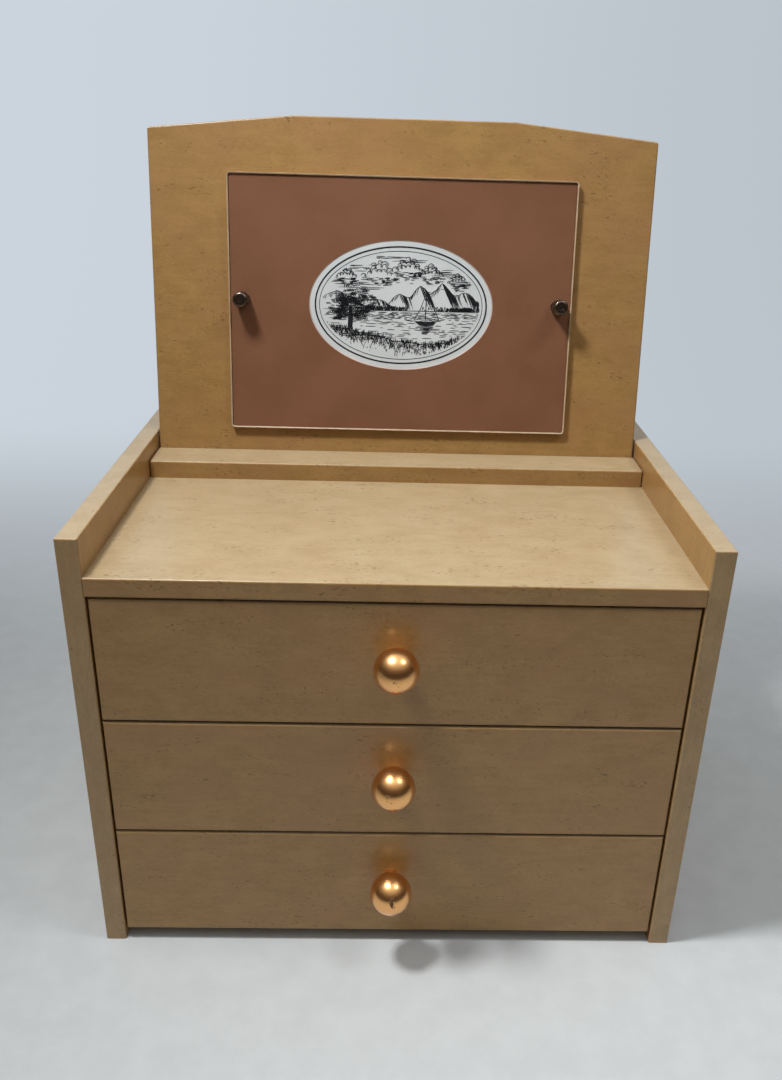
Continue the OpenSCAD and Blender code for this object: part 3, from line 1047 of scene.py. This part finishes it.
@dataclass
class LakeView:
    """The pen drawing in the oval: a lake with a sailing boat, mountains and a broad tree.

    All places and widths are in millimetres, from the middle of the oval.
    """

    half_width: float = 46.6
    half_height: float = 29.6
    seed: int = 11
    press: float = 1.2
    finest: float = 1.2
    boat: Pair = (15.0, -9.0)
    tree: Pair = (-30.0, -15.5)
    mountain_foot: float = -2.6
    strokes: list[Stroke] = field(default_factory=list)

    def __post_init__(self) -> None:
        """Starts the seeded hand that draws."""
        self.hand = random.Random(self.seed)

    def draw(self) -> list[Stroke]:
        """Draws the whole picture.

        Returns:
            The strokes, cut at the oval's edge.
        """
        self._sky()
        self._clouds()
        self._mountains()
        self._far_shore()
        self._water()
        self._boat()
        self._bank()
        self._tree()
        self._birds()
        return [piece for stroke in self.strokes for piece in self._inside(stroke)]

    def _line(self, points: list[Pair], width: float) -> None:
        """Adds one stroke."""
        self.strokes.append(Stroke(points, width * self.press))

    def _dash(self, u: float, v: float, length: float, tilt: float, width: float) -> None:
        """Adds a slightly bowed dash that starts at a point.

        Args:
            u: The point's place to the right.
            v: Its place upwards.
            length: How long the dash is.
            tilt: How much it rises over its length.
            width: Its width at the thickest.
        """
        bow = self.hand.uniform(-0.25, 0.25)
        steps = max(3, int(length / 1.5) + 1)
        shares = [i / (steps - 1) for i in range(steps)]
        self._line(
            [
                (u + length * t, v + length * t * tilt + bow * math.sin(math.pi * t))
                for t in shares
            ],
            width,
        )

    @staticmethod
    def _arc(u: float, v: float, r: float, turns: list[float], squash: float = 1.0) -> list[Pair]:
        """Returns the points round a middle at the given turns."""
        return [(u + r * math.cos(a), v + squash * r * math.sin(a)) for a in turns]

    def _inside(self, stroke: Stroke) -> list[Stroke]:
        """Returns the runs of a stroke that lie in the oval.

        Args:
            stroke: The whole stroke.

        Returns:
            A stroke for each run.
        """
        fine: list[Pair] = []
        for (u0, v0), (u1, v1) in zip(stroke.points, stroke.points[1:]):
            steps = max(1, math.ceil(math.hypot(u1 - u0, v1 - v0) / self.finest))
            for i in range(steps):
                fine.append((u0 + (u1 - u0) * i / steps, v0 + (v1 - v0) * i / steps))
        fine.append(stroke.points[-1])
        runs: list[list[Pair]] = [[]]
        for u, v in fine:
            if (u / self.half_width) ** 2 + (v / self.half_height) ** 2 < 1:
                runs[-1].append((u, v))
            elif runs[-1]:
                runs.append([])
        return [Stroke(run, stroke.width) for run in runs if len(run) > 1]

    def _sky(self) -> None:
        """Draws long level strokes, which crowd towards the top."""
        pick = self.hand.uniform
        v = 29.0
        while v > 9:
            u = -44 + pick(0, 9)
            while u < 42:
                length = pick(4, 13)
                middle = u + length / 2
                banks = math.sin(middle * 0.16 + v * 0.55)
                banks = banks + 0.7 * math.sin(middle * 0.09 - v * 0.8 + 1.7)
                open_sky = abs(middle - 3) < 19 and v < 24
                if not open_sky and self.hand.random() < 0.42 + 0.42 * banks:
                    self._dash(u, v, length, pick(-0.03, 0.06), pick(0.26, 0.46))
                u += length + pick(0.6, 4)
            v -= pick(0.5, 0.8) + (28 - v) * 0.018

    def _clouds(self) -> None:
        """Draws heaped clouds with shaded undersides."""
        heaps = ((-13, 16, 10.5), (4, 19.5, 9), (17, 17, 7.5), (33, 13.5, 6), (-33, 15.5, 6.5))
        for u0, v0, size in heaps:
            for row, count in ((0.0, 7), (0.34, 5), (0.62, 3)):
                for k in range(count):
                    share = (k + self.hand.uniform(0.35, 0.65)) / count
                    u = u0 + (share - 0.5) * 2 * size * (1 - row * 0.8)
                    v = v0 + (math.sin(math.pi * share) * 0.3 + row * 0.75) * size
                    self._puff(u, v, size * self.hand.uniform(0.13, 0.24))
            self._cloud_shade(u0, v0, size)

    def _puff(self, u: float, v: float, r: float) -> None:
        """Draws one round top of a cloud, with two finer curves under it.

        Args:
            u: Its middle's place to the right.
            v: Its middle's place upwards.
            r: Its radius.
        """
        start = self.hand.uniform(0.9, 1.15)
        turns = [math.pi * (start - self.hand.uniform(0.95, 1.05) * i / 7) for i in range(8)]
        self._line(self._arc(u, v, r, turns), 0.4)
        for deep in (0.72, 0.46):
            self._line(self._arc(u + 0.3, v - 0.3, deep * r, turns[3:]), 0.24)

    def _cloud_shade(self, u0: float, v0: float, size: float) -> None:
        """Draws the level strokes under a cloud, which are darker on its right.

        Args:
            u0: The cloud's place to the right.
            v0: The place of its foot upwards.
            size: Half the cloud's width.
        """
        for k in range(13):
            v = v0 - 0.2 - k * 0.36
            reach = size * (1.05 - k * 0.06)
            u = u0 - reach + self.hand.uniform(0, 3)
            while u < u0 + reach:
                length = self.hand.uniform(1.5, 4.5)
                self._dash(u, v, length, 0.05, 0.26 + 0.16 * (u > u0))
                u += length + self.hand.uniform(0.3, 2.4 if u > u0 else 5)

    def _ridge(self, peaks: list[Pair], rough: float) -> list[Pair]:
        """Returns a broken line through the given peaks.

        Args:
            peaks: The peaks from left to right.
            rough: How far the line may stray between two peaks.

        Returns:
            The points of the line.
        """
        line = list(peaks)
        while rough > 0.15:
            finer = [line[0]]
            for (u0, v0), (u1, v1) in zip(line, line[1:]):
                lift = self.hand.uniform(-rough, rough)
                finer.append(((u0 + u1) / 2, (v0 + v1) / 2 + lift))
                finer.append((u1, v1))
            line, rough = finer, rough * 0.5
        return line

    def _mountains(self) -> None:
        """Draws a range of mountains, whose right slopes are shaded."""
        peaks = [(-8, 1), (-2, 6.5), (5, 5), (11, 11.5), (17, 7), (24, 13.5), (32, 6.5)]
        far = self._ridge([*peaks, (40, 8), (48, 2)], 1.1)
        near = self._ridge([(-48, 4), (-38, 8), (-24, 2.5), (-12, 3.2), (-2, -1.2)], 0.9)
        for ridge in (far, near):
            self._line(ridge, 0.42)
            for first, second in zip(ridge, ridge[1:]):
                self._slope(first, second)

    def _slope(self, first: Pair, second: Pair) -> None:
        """Draws the strokes down from one stretch of a ridge.

        Args:
            first: The stretch's left end.
            second: Its right end.
        """
        (u0, v0), (u1, v1) = first, second
        shaded = v1 < v0
        lean = 0.42 if shaded else -0.3
        for _ in range(5 if shaded else 1):
            u = self.hand.uniform(u0, u1)
            v = v0 + (v1 - v0) * (u - u0) / (u1 - u0)
            deep = (v - self.mountain_foot) * self.hand.uniform(0.35, 0.95)
            deep *= 1.0 if shaded else 0.4
            half_way = (u + lean * deep * 0.5, v - deep * 0.5)
            self._line([(u, v - 0.2), half_way, (u + lean * deep, v - deep)], 0.3)

    def _far_shore(self) -> None:
        """Draws the far shore with its thickets."""
        gauss = self.hand.gauss
        self._line([(-47, -2.6), (-20, -2.9), (10, -2.7), (47, -2.8)], 0.4)
        for _ in range(300):
            u = self.hand.choice((gauss(-8, 7), gauss(34, 8), gauss(38, 4)))
            tall = self.hand.uniform(0.5, 2.9)
            left = [(u - 0.5, -2.7), (u - 0.3, -2.7 + tall * 0.7)]
            self._line([*left, (u, -2.7 + tall), (u + 0.45, -2.6 + tall * 0.4)], 0.4)

    def _water(self) -> None:
        """Draws ripples, which widen towards the front."""
        pick = self.hand.uniform
        v = -3.8
        while v > -22:
            step = 0.5 + (-v - 3.8) * 0.04
            u = -46 + pick(0, 6)
            while u < 46:
                length = pick(1.5, 6.5)
                crowded = 0.9 if v > -7 else 0.55 + 0.3 * math.sin(u * 0.12 + v * 0.9)
                if self.hand.random() < crowded:
                    self._dash(u, v + pick(-0.15, 0.15), length, 0.0, pick(0.26, 0.42))
                u += length + pick(0.5, 3)
            v -= step

    def _boat(self) -> None:
        """Draws a sailing boat and its reflection."""
        u0, v0 = self.boat
        for k in range(7):
            v = v0 - k * 0.32
            self._line([(u0 - 6.6 + k * 0.45, v), (u0, v - 0.12), (u0 + 6.2 - k * 0.3, v)], 0.42)
        gunwale = ((-6.8, 0.5), (0, -0.1), (6.6, 0.6))
        mast = ((-0.3, 0), (0, 17.5))
        mainsail = ((0.5, 16.5), (4.6, 8), (7.6, 1.6), (0.4, 1.2))
        jib = ((-0.7, 15), (-3.6, 7), (-7.0, 1.3), (-0.8, 1.9))
        for outline, width in ((gunwale, 0.5), (mast, 0.5), (mainsail, 0.4), (jib, 0.4)):
            self._line([(u0 + u, v0 + v) for u, v in outline], width)
        for k in range(15):
            share = (k + 0.5) / 15
            v = v0 + 1.4 + 14 * share
            reach = (1 - share) * 6.6
            self._dash(u0 + 0.6 + reach * 0.45, v, reach * 0.5, -0.12, 0.25)
        self._line([(u0 + 0.1, v0 + 17.4), (u0 + 1.4, v0 + 17.1), (u0 + 2.4, v0 + 17.5)], 0.4)
        for k in range(9):
            wide = 5.2 - k * 0.45
            u = u0 - wide + self.hand.uniform(-0.8, 0.8)
            self._dash(u, v0 - 2.7 - k * 0.55, wide * 1.9, 0.0, 0.36)

    def _bank(self) -> None:
        """Draws the near bank with stones and grass."""
        edge = [(-48, -11.5), (-34, -13.5), (-18, -17), (-4, -20.5), (12, -22), (26, -21)]
        bank = self._ridge([*edge, (44, -16)], 0.5)
        self._line(bank, 0.45)
        for _ in range(900):
            u = self.hand.uniform(-47, 44)
            v = min(bank, key=lambda point: abs(point[0] - u))[1]
            v -= abs(self.hand.gauss(0, 3.6))
            tall = self.hand.uniform(0.8, 2.6)
            lean = self.hand.uniform(-0.9, 0.9)
            self._line([(u, v), (u + lean * 0.3, v + tall * 0.6), (u + lean, v + tall)], 0.36)
        for u, v, r in ((22, -23.2, 2.6), (27.5, -22, 1.8), (2, -24, 2.2)):
            self._line(self._arc(u, v, r, [math.pi * i / 8 for i in range(9)], 0.7), 0.45)
            for k in range(6):
                foot = (u + r * (0.2 + 0.13 * k), v)
                self._line([foot, (u + r * (0.05 + 0.13 * k), v + r * (0.62 - 0.09 * k))], 0.28)

    def _tree(self) -> None:
        """Draws a broad tree with a dark trunk."""
        u0, v0 = self.tree
        for k in range(8):
            u = u0 - 1.3 + k * 0.36
            flare = (k - 3.5) * 0.35
            low = [(u + flare, v0 - 1.2), (u, v0 + 3)]
            self._line([*low, (u + 0.3, v0 + 9), (u - flare * 0.7, v0 + 15)], 0.4)
        fork = v0 + 10
        for du, dv in ((-9, 9), (-5, 13), (1, 15), (6, 12), (9, 7)):
            bend = (u0 + du * 0.4, fork + dv * 0.35)
            self._line([(u0, fork), bend, (u0 + du, fork + dv)], 0.45)
        crowns = (
            (-8, 16, 5.5),
            (-3, 21, 6),
            (4, 22, 6),
            (9, 17, 5.5),
            (0, 15, 7),
            (6, 12, 4.5),
            (-7, 11, 4),
        )
        for du, dv, r in crowns:
            for _ in range(120):
                self._leaves(u0 + du, v0 + dv, r)
        for _ in range(40):
            u = u0 + self.hand.gauss(3, 5)
            v = v0 - 1.2 + self.hand.uniform(-1.4, 0.6)
            self._dash(u, v, self.hand.uniform(1.5, 4), 0.02, 0.34)

    def _leaves(self, u0: float, v0: float, r: float) -> None:
        """Draws one scalloped sprig somewhere in a crown, more often on its shaded side.

        Args:
            u0: The crown's place to the right.
            v0: Its place upwards.
            r: Its radius.
        """
        a, share = self.hand.uniform(0, TURN), math.sqrt(self.hand.random())
        u = u0 + r * share * math.cos(a)
        v = v0 + r * share * math.sin(a)
        shade = math.cos(a + 0.8) * share
        if self.hand.random() > 0.5 + 0.5 * shade:
            return
        size = self.hand.uniform(0.45, 0.8)
        start = self.hand.uniform(0, TURN)
        turns = [start + math.pi * (0.1 + 0.8 * i / 3) for i in range(4)]
        for k in range(3):
            middle = u + (k - 1) * size * 1.5
            self._line(self._arc(middle, v, size, turns), 0.3 + 0.16 * max(shade, 0))

    def _birds(self) -> None:
        """Draws a few birds over the lake."""
        for u, v, r in ((-2, 13, 1.3), (2.5, 14.4, 1.0), (6, 12.6, 1.1), (-6.5, 11.4, 0.9)):
            left = [(u - r, v + 0.45), (u - r * 0.4, v + 0.6)]
            self._line([*left, (u, v), (u + r * 0.45, v + 0.7), (u + r, v + 0.35)], 0.3)


@dataclass
class ThumbScrew:
    """A turned thumb screw with a knurled head, a rounded shoulder and rings on its face.

    Sizes are in millimetres. Depths on the face are counted from its front, and those of the
    collar and the tip from the plate's own front.
    """

    side: str
    head_r: float = 4.5
    head: float = 12.0
    rest: float = 0.1
    shank_r: float = 2.0
    depth: float = 9.3
    teeth: int = 24
    tooth: tuple[float, ...] = (0.0, 0.55, 1.0, 0.55)
    groove: float = 0.42
    face: tuple[Pair, ...] = (
        (0.2, 0.2),
        (1.2, 0.2),
        (1.35, 0.05),
        (1.9, 0.05),
        (2.0, 0.2),
        (2.2, 0.2),
        (2.35, 0.02),
    )
    shoulder_r: float = 1.7
    shoulder_steps: int = 5
    shoulder_knurl: float = 0.35
    knurl: Pair = (1.95, -1.9)
    collar: tuple[Pair, ...] = ((0.0, -1.6), (0.15, -1.3), (0.0, -1.0), (0.0, -0.5))
    base_inset: float = 0.35
    tip: float = 0.4

    def build(self, plate: Matrix) -> None:
        """Makes the screw in place of its plain node.

        Args:
            plate: From the picture plate's own frame to the row frame.
        """
        name = f"thumb_screw_{self.side}"
        joint = next(joint for joint in frame["joints"] if joint["child"] == name)
        seat = plate.inverted() @ Vector(joint["pos_m"])
        sides = self.teeth * len(self.tooth)
        points = []
        for radius, depth, knurl in self._profile():
            y = seat.y + depth * MM
            for i in range(sides):
                turn = TURN * i / sides
                r = (radius - self.groove * knurl * self.tooth[i % len(self.tooth)]) * MM
                points.append(Vector((seat.x + r * math.cos(turn), y, seat.z + r * math.sin(turn))))
        faces = tube_faces(len(points) // sides, sides, False)
        bronze = Metal(
            "dark_bronze",
            (0.135, 0.105, 0.085),
            (0.05, 0.04, 0.032),
            0.24,
            0.6,
            (2500, 2500, 2500),
        )
        screw = make_piece(f"{name}_turned", points, faces, bronze, plate, 28)
        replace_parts(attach(screw, name), name)

    def _profile(self) -> list[Triple]:
        """Returns the rings of points, from the middle of the face to the tip.

        Returns:
            The radius, the depth and the share of the knurl for each ring.
        """
        r, front = self.head_r, -self.head
        rings = [(radius, front + deep, 0) for radius, deep in self.face]
        for step in range(self.shoulder_steps + 1):
            turn = QUARTER * step / self.shoulder_steps
            inset = self.shoulder_r * (1 - math.sin(turn))
            deep = self.shoulder_r * (1 - math.cos(turn))
            share = self.shoulder_knurl * step / self.shoulder_steps
            rings.append((r - inset, front + deep, share))
        rings += [(r, front + self.knurl[0], 1), (r, self.knurl[1], 1)]
        rings += [(r - inset, deep, 0) for inset, deep in self.collar]
        rings += [(r - self.base_inset, -self.rest, 0), (self.shank_r, -self.rest, 0)]
        rings.append((self.shank_r, self.depth - self.tip, 0))
        rings.append((self.shank_r - self.tip, self.depth, 0))
        return rings


@dataclass
class PicturePlate:
    """The glazed picture on the upright board: its rim, mat, drawing and mirror.

    Sizes are in millimetres.
    """

    window_w: float = 108.8
    window_h: float = 74.6
    window_rise: float = 0.9
    bevel: float = 0.6
    hair: float = 0.02
    ring_inset: float = 3.3
    ring_w: float = 0.95
    inner_ring_inset: float = 6.0
    inner_ring_w: float = 0.4
    ink_t: float = 0.03
    ink_gap: float = 0.03
    ink_thin: float = 0.45
    pane_gap: float = 0.05
    pane_edge: float = 0.25
    pane_r: float = 1.0
    pane_hole: float = 2.3
    hole_steps: int = 32
    rim_w: float = 0.7
    rim_r: float = 2.0
    rim_least_r: float = 0.1
    rim_ease: float = 0.12
    flange_w: float = 1.5

    def __post_init__(self) -> None:
        """Finds the plate's own frame: x to the right, y into the board, z up its face."""
        joints = {joint["name"]: joint for joint in frame["joints"]}
        into = -Vector(joints["plate_pull"]["axis"]).normalized()
        right = Vector((1, 0, 0))
        up = right.cross(into)
        low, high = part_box("picture_mat")
        middle = (low + high) / 2 + up * self.window_rise * MM
        turn = Matrix((right, into, up)).transposed().to_4x4()
        self.place = Matrix.Translation(middle) @ turn

    def build(self) -> None:
        """Dresses the plate and makes its rim, pane and screws, the window's edge and the ink."""
        self._rim()
        dress(MatBoard("mat_terracotta"), "picture_mat")
        dress(MatBoard("white_card", (0.74, 0.79, 0.82), (0.68, 0.73, 0.76)), "picture_print")
        self._pane()
        dress(Silvering("mirror_silver"), "mirror_glass")
        brass = Metal("insert_brass", (0.72, 0.50, 0.22), (0.40, 0.27, 0.12), 0.3)
        dress(brass, "insert_left", "insert_right")
        for side in SIDES:
            ThumbScrew(side).build(self.place)
        self._window_edge()
        self._ink()

    def _reach(self, node: str) -> tuple[Vector, Vector]:
        """Returns a node's lowest and highest corner in the plate's frame, in metres.

        Args:
            node: The node's name.

        Returns:
            The two corners.
        """
        back = self.place.inverted()
        spots = [back @ vertex.co for vertex in frame["nodes"][node].data.vertices]
        return Vector(map(min, zip(*spots))), Vector(map(max, zip(*spots)))

    def _depths(self, node: str) -> Pair:
        """Returns the least and greatest depth of a node in the plate's frame, in metres."""
        low, high = self._reach(node)
        return low.y, high.y

    @staticmethod
    def _level(low: Vector, high: Vector, inset: float, depth: float, r: float) -> list[Triple]:
        """Returns a rectangle with rounded corners at a depth, moved inwards from two corners.

        Args:
            low: The lowest corner of the box that it lies in.
            high: The highest corner.
            inset: How far it is moved inwards.
            depth: Its depth.
            r: The radius of its corners.

        Returns:
            Its points.
        """
        sides = (low.x + inset, low.z + inset, high.x - inset, high.z - inset)
        return [(u, depth, v) for u, v in rounded_outline(*sides, r)]

    def _rim(self) -> None:
        """Makes the plate's frame, with a front that slopes inwards and a flange in the middle."""
        low, high = self._reach("plate_rim")
        ease, width = self.rim_ease * MM, self.rim_w * MM
        flange = (self.rim_w + self.flange_w) * MM
        glass = self._depths("picture_glass")[0]
        ledge, rest = self._depths("picture_print")[1], self._depths("mirror_glass")[0]
        profile = (
            (ease, low.y),
            (width, glass),
            (width, ledge),
            (flange, ledge),
            (flange, rest),
            (width, rest),
            (width, high.y - ease),
            (width - ease, high.y),
            (ease, high.y),
            (0.0, high.y - ease),
            (0.0, low.y + ease),
        )
        points = []
        for inset, depth in profile:
            r = max(self.rim_r * MM - inset, self.rim_least_r * MM)
            points += [Vector(spot) for spot in self._level(low, high, inset, depth, r)]
        faces = tube_faces(len(profile), len(points) // len(profile), True)
        paint = SatinPaint("cream_paint")
        piece = make_piece("plate_rim_sloped", points, faces, paint, self.place)
        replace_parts(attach(piece, "picture_plate"), "plate_rim")

    def _pane(self) -> None:
        """Makes the glass with its polished edge, a hair clear of the mat behind it."""
        front, back = self._depths("picture_glass")
        back -= self.pane_gap * MM
        edge = self.pane_edge * MM
        low, high = self._reach("picture_glass")
        steps = ((front, edge), (front + edge, 0.0), (back - edge, 0.0), (back, edge))
        rings = [self._level(low, high, inset, depth, self.pane_r * MM) for depth, inset in steps]
        screws = [joint["pos_m"] for joint in frame["joints"] if "screw" in joint["name"]]
        holes = [self.place.inverted() @ Vector(spot) for spot in screws]
        bores = [self._bore(hole, depth) for hole in holes for depth in (front, back)]
        points, faces = pierced_slab(rings, bores)
        pane = make_piece("picture_pane", points, faces, Glass("clear_glass"), self.place)
        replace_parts(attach(pane, "picture_plate"), "picture_glass")

    def _bore(self, hole: Vector, depth: float) -> list[Triple]:
        """Returns the edge of a screw's hole in the pane, at a depth.

        Args:
            hole: The screw's place in the plate's frame.
            depth: The depth.

        Returns:
            The points of the edge.
        """
        r, steps = self.pane_hole * MM, self.hole_steps
        turns = [TURN * i / steps for i in range(steps)]
        return [(hole.x + r * math.cos(a), depth, hole.z + r * math.sin(a)) for a in turns]

    def _oval(self, inset: float, steps: int = 144) -> list[Pair]:
        """Returns points on the window's outline, moved inwards, in metres.

        Args:
            inset: How far they are moved inwards, in millimetres.
            steps: How many points there are.

        Returns:
            The points.
        """
        a, b = (self.window_w / 2 - inset) * MM, (self.window_h / 2 - inset) * MM
        turns = [TURN * i / steps for i in range(steps)]
        return [(a * math.cos(turn), b * math.sin(turn)) for turn in turns]

    def _window_edge(self) -> None:
        """Makes the pale core that shows where the mat's window is cut at a slant."""
        outer, inner = self._oval(self.hair), self._oval(self.bevel)
        front = self._depths("picture_mat")[0]
        back = self._depths("picture_print")[0] - self.hair * MM
        points = []
        for (u0, v0), (u1, v1) in zip(outer, inner):
            points += [Vector((u0, front, v0)), Vector((u1, back, v1)), Vector((u0, back, v0))]
        faces = tube_faces(len(outer), len(points) // len(outer), True)
        core = MatBoard("mat_core", (0.62, 0.50, 0.46), (0.52, 0.40, 0.36), 0.05)
        piece = make_piece("mat_window_edge", points, faces, core, self.place)
        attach(piece, "picture_plate")

    def _ink(self) -> None:
        """Makes the printed rings and the drawing, as thin strokes on the card."""
        card = self._depths("picture_print")[0] - self.ink_gap * MM
        points: list[Vector] = []
        faces: Faces = []

        def add(bar: list[Vector], closed: bool) -> None:
            """Adds a bar with four points to a step.

            Args:
                bar: Its points.
                closed: Whether its end joins its start.
            """
            start = len(points)
            for face in tube_faces(len(bar) // 4, 4, closed):
                faces.append(tuple(start + i for i in face))
            points.extend(bar)

        add(self._band(self.ring_inset, self.ring_w, card), True)
        add(self._band(self.inner_ring_inset, self.inner_ring_w, card), True)
        for stroke in LakeView().draw():
            add(self._ribbon(stroke, card), False)
        ink = MatBoard("printing_ink", (0.022, 0.024, 0.034), (0.012, 0.013, 0.020))
        piece = make_piece("picture_ink", points, faces, ink, self.place)
        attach(piece, "picture_plate")

    def _band(self, inset: float, width: float, card: float) -> list[Vector]:
        """Returns the points of an oval ring, four to a step.

        Args:
            inset: How far its outer edge lies inside the window, in millimetres.
            width: Its width in millimetres.
            card: The depth of the card's front in metres.

        Returns:
            The points in the plate's frame.
        """
        top = card - self.ink_t * MM
        points = []
        for (u0, v0), (u1, v1) in zip(self._oval(inset), self._oval(inset + width)):
            points += [Vector((u0, card, v0)), Vector((u1, card, v1))]
            points += [Vector((u1, top, v1)), Vector((u0, top, v0))]
        return points

    def _ribbon(self, stroke: Stroke, card: float) -> list[Vector]:
        """Returns the points of a pen stroke that thins at both ends, four to a step.

        Args:
            stroke: The stroke.
            card: The depth of the card's front in metres.

        Returns:
            The points in the plate's frame.
        """
        line = [Vector(point) * MM for point in stroke.points]
        top = card - self.ink_t * MM
        points = []
        for i, spot in enumerate(line):
            along = line[min(i + 1, len(line) - 1)] - line[max(i - 1, 0)]
            side = Vector((-along.y, along.x)).normalized()
            middle = math.sin(math.pi * (i + 0.5) / len(line))
            side *= stroke.width * MM * (self.ink_thin + (1 - self.ink_thin) * middle) / 2
            for depth, way in ((card, 1), (card, -1), (top, -1), (top, 1)):
                points.append(Vector((spot.x + way * side.x, depth, spot.y + way * side.y)))
        return points


@dataclass
class MirrorBoard:
    """The leaning board and the blocks behind it."""

    board_shift: Triple = (1.7, 4.1, 2.6)
    block_shift: Triple = (0.3, 5.0, 7.7)

    def build(self) -> None:
        """Dresses the board and its blocks."""
        dress(MapleFoil("maple_foil_board", shift=self.board_shift), "mirror_board")
        block = MapleFoil("maple_foil_blocks", Grain.UPRIGHT, shift=self.block_shift)
        dress(block, "support_block_left", "support_block_right")


@dataclass
class Studio:
    """The floor, the wall, the lamps, the room's light and the camera.

    Sizes are in metres, apart from the sensor, which is in millimetres like the lens. The room's
    stops are its colours from straight below to straight above.
    """

    focal_px: float = 957.07
    frame_px: Pair = (782, 1080)
    middle_px: Pair = (412.977, 542.766)
    down_deg: float = 23.988
    left_deg: float = 1.701
    roll_deg: float = 1.792
    eye: Triple = (-0.005588, -0.499933, 0.424690)
    sensor: float = 36.0
    paper_half: float = 3.2
    paper_rows: tuple[float, ...] = (-3.2, -1.0, 0.0)
    paper_columns: int = 9
    paper_drop: float = 0.1 * MM
    bend_y: float = 0.75
    bend_r: float = 0.65
    bend_steps: int = 16
    wall_top: float = 3.4
    lamp_colour: Triple = (1.0, 0.993, 0.975)
    room: tuple[tuple[float, Triple], ...] = (
        (0.0, (0.048, 0.032, 0.022)),
        (0.25, (0.064, 0.044, 0.030)),
        (0.5, (0.16, 0.135, 0.11)),
        (0.75, (0.50, 0.50, 0.50)),
        (1.0, (1.02, 1.04, 1.06)),
    )

    def build(self) -> None:
        """Sets up the whole studio."""
        self._camera()
        self._sweep()
        self._lamps()
        self._room()
        bpy.context.scene.view_settings.view_transform = "Standard"
        bpy.context.scene.cycles.use_denoising = True

    def _camera(self) -> None:
        """Places the camera where the photograph was taken from."""
        data = bpy.data.cameras.new("camera")
        wide, tall = self.frame_px
        data.sensor_width = self.sensor
        data.lens = self.focal_px / tall * self.sensor
        data.shift_x = -(self.middle_px[0] - wide / 2) / tall
        data.shift_y = (self.middle_px[1] - tall / 2) / tall
        data.clip_start, data.clip_end = 0.01, 50.0
        camera = bpy.data.objects.new("camera", data)
        turn = (
            Matrix.Rotation(math.radians(-self.left_deg), 4, "Z")
            @ Matrix.Rotation(math.radians(90 - self.down_deg), 4, "X")
            @ Matrix.Rotation(math.radians(self.roll_deg), 4, "Z")
        )
        camera.matrix_world = Matrix.Translation(self.eye) @ turn
        bpy.context.scene.collection.objects.link(camera)
        bpy.context.scene.camera = camera

    def _sweep(self) -> None:
        """Makes a sheet of paper that lies flat, bends and rises behind the object."""
        outline = [(y, 0.0) for y in (*self.paper_rows, self.bend_y)]
        for i in range(1, self.bend_steps + 1):
            turn = QUARTER * i / self.bend_steps
            outline.append(
                (self.bend_y + self.bend_r * math.sin(turn), self.bend_r * (1 - math.cos(turn)))
            )
        outline.append((self.bend_y + self.bend_r, self.wall_top))
        columns = self.paper_columns
        across = [self.paper_half * (2 * column / (columns - 1) - 1) for column in range(columns)]
        points = [Vector((x, y, z - self.paper_drop)) for y, z in outline for x in across]
        faces = [
            (near + c, near + c + 1, near + columns + c + 1, near + columns + c)
            for near in range(0, (len(outline) - 1) * columns, columns)
            for c in range(columns - 1)
        ]
        sheet = make_piece("studio_paper", points, faces, StudioPaper("studio_paper"), smooth=60)

    def _lamp(
        self,
        name: str,
        spot: Triple,
        aim: Triple,
        size: float,
        power: float,
        spread: float = 180.0,
    ) -> None:
        """Adds a soft lamp.

        Args:
            name: The lamp's name.
            spot: Where it hangs.
            aim: The place that it points at.
            size: The width of its round face.
            power: Its power in watts.
            spread: The angle in degrees that its light goes out in.
        """
        data = bpy.data.lights.new(name, "AREA")
        data.shape = "DISK"
        data.size, data.energy, data.spread = size, power, math.radians(spread)
        data.color = self.lamp_colour
        lamp = bpy.data.objects.new(name, data)
        turn = (Vector(spot) - Vector(aim)).to_track_quat("Z", "Y").to_matrix().to_4x4()
        lamp.matrix_world = Matrix.Translation(spot) @ turn
        bpy.context.scene.collection.objects.link(lamp)

    def _lamps(self) -> None:
        """Hangs a small lamp in front on the left, and a larger one higher up on the right."""
        left, right = (-0.235, -0.155, 0.82), (0.54, -0.235, 1.14)
        self._lamp("lamp_left", left, (0.30, -0.15, -0.05), 0.11, 1.85, 110.0)
        self._lamp("lamp_right", right, (0.0, -0.02, 0.2), 0.30, 2.1)

    def _room(self) -> None:
        """Lights the scene softly from a room with a bright ceiling and a dim lower half."""
        world = bpy.data.worlds.new("room")
        bpy.context.scene.world = world
        recipe = Recipe(world)
        height = recipe.parts_of(recipe.node("ShaderNodeTexCoord", output="Generated"))[2]
        glow = recipe.node("ShaderNodeValToRGB", {"stops": self.room}, {0: height})
        light = recipe.node("ShaderNodeBackground", sockets={"Color": glow})
        recipe.end("ShaderNodeOutputWorld", light)


def main() -> None:
    """Builds every part of the scene in order."""
    logging.basicConfig(level=logging.INFO, format="%(name)s: %(message)s")
    Studio().build()
    Cabinet().build()
    MirrorBoard().build()
    PicturePlate().build()
    for drawer in (
        Drawer("bottom", (2.2, 1.1, 0.6), (0.08, 0.08), 0.16, 1.0),
        Drawer("middle", (0.9, 3.7, 5.2), (-0.20, 0.13), 0.28),
        Drawer("top", (4.4, 0.2, 8.1), (0.04, -0.06), 0.26),
    ):
        drawer.build()


if __name__ == "__main__":
    main()
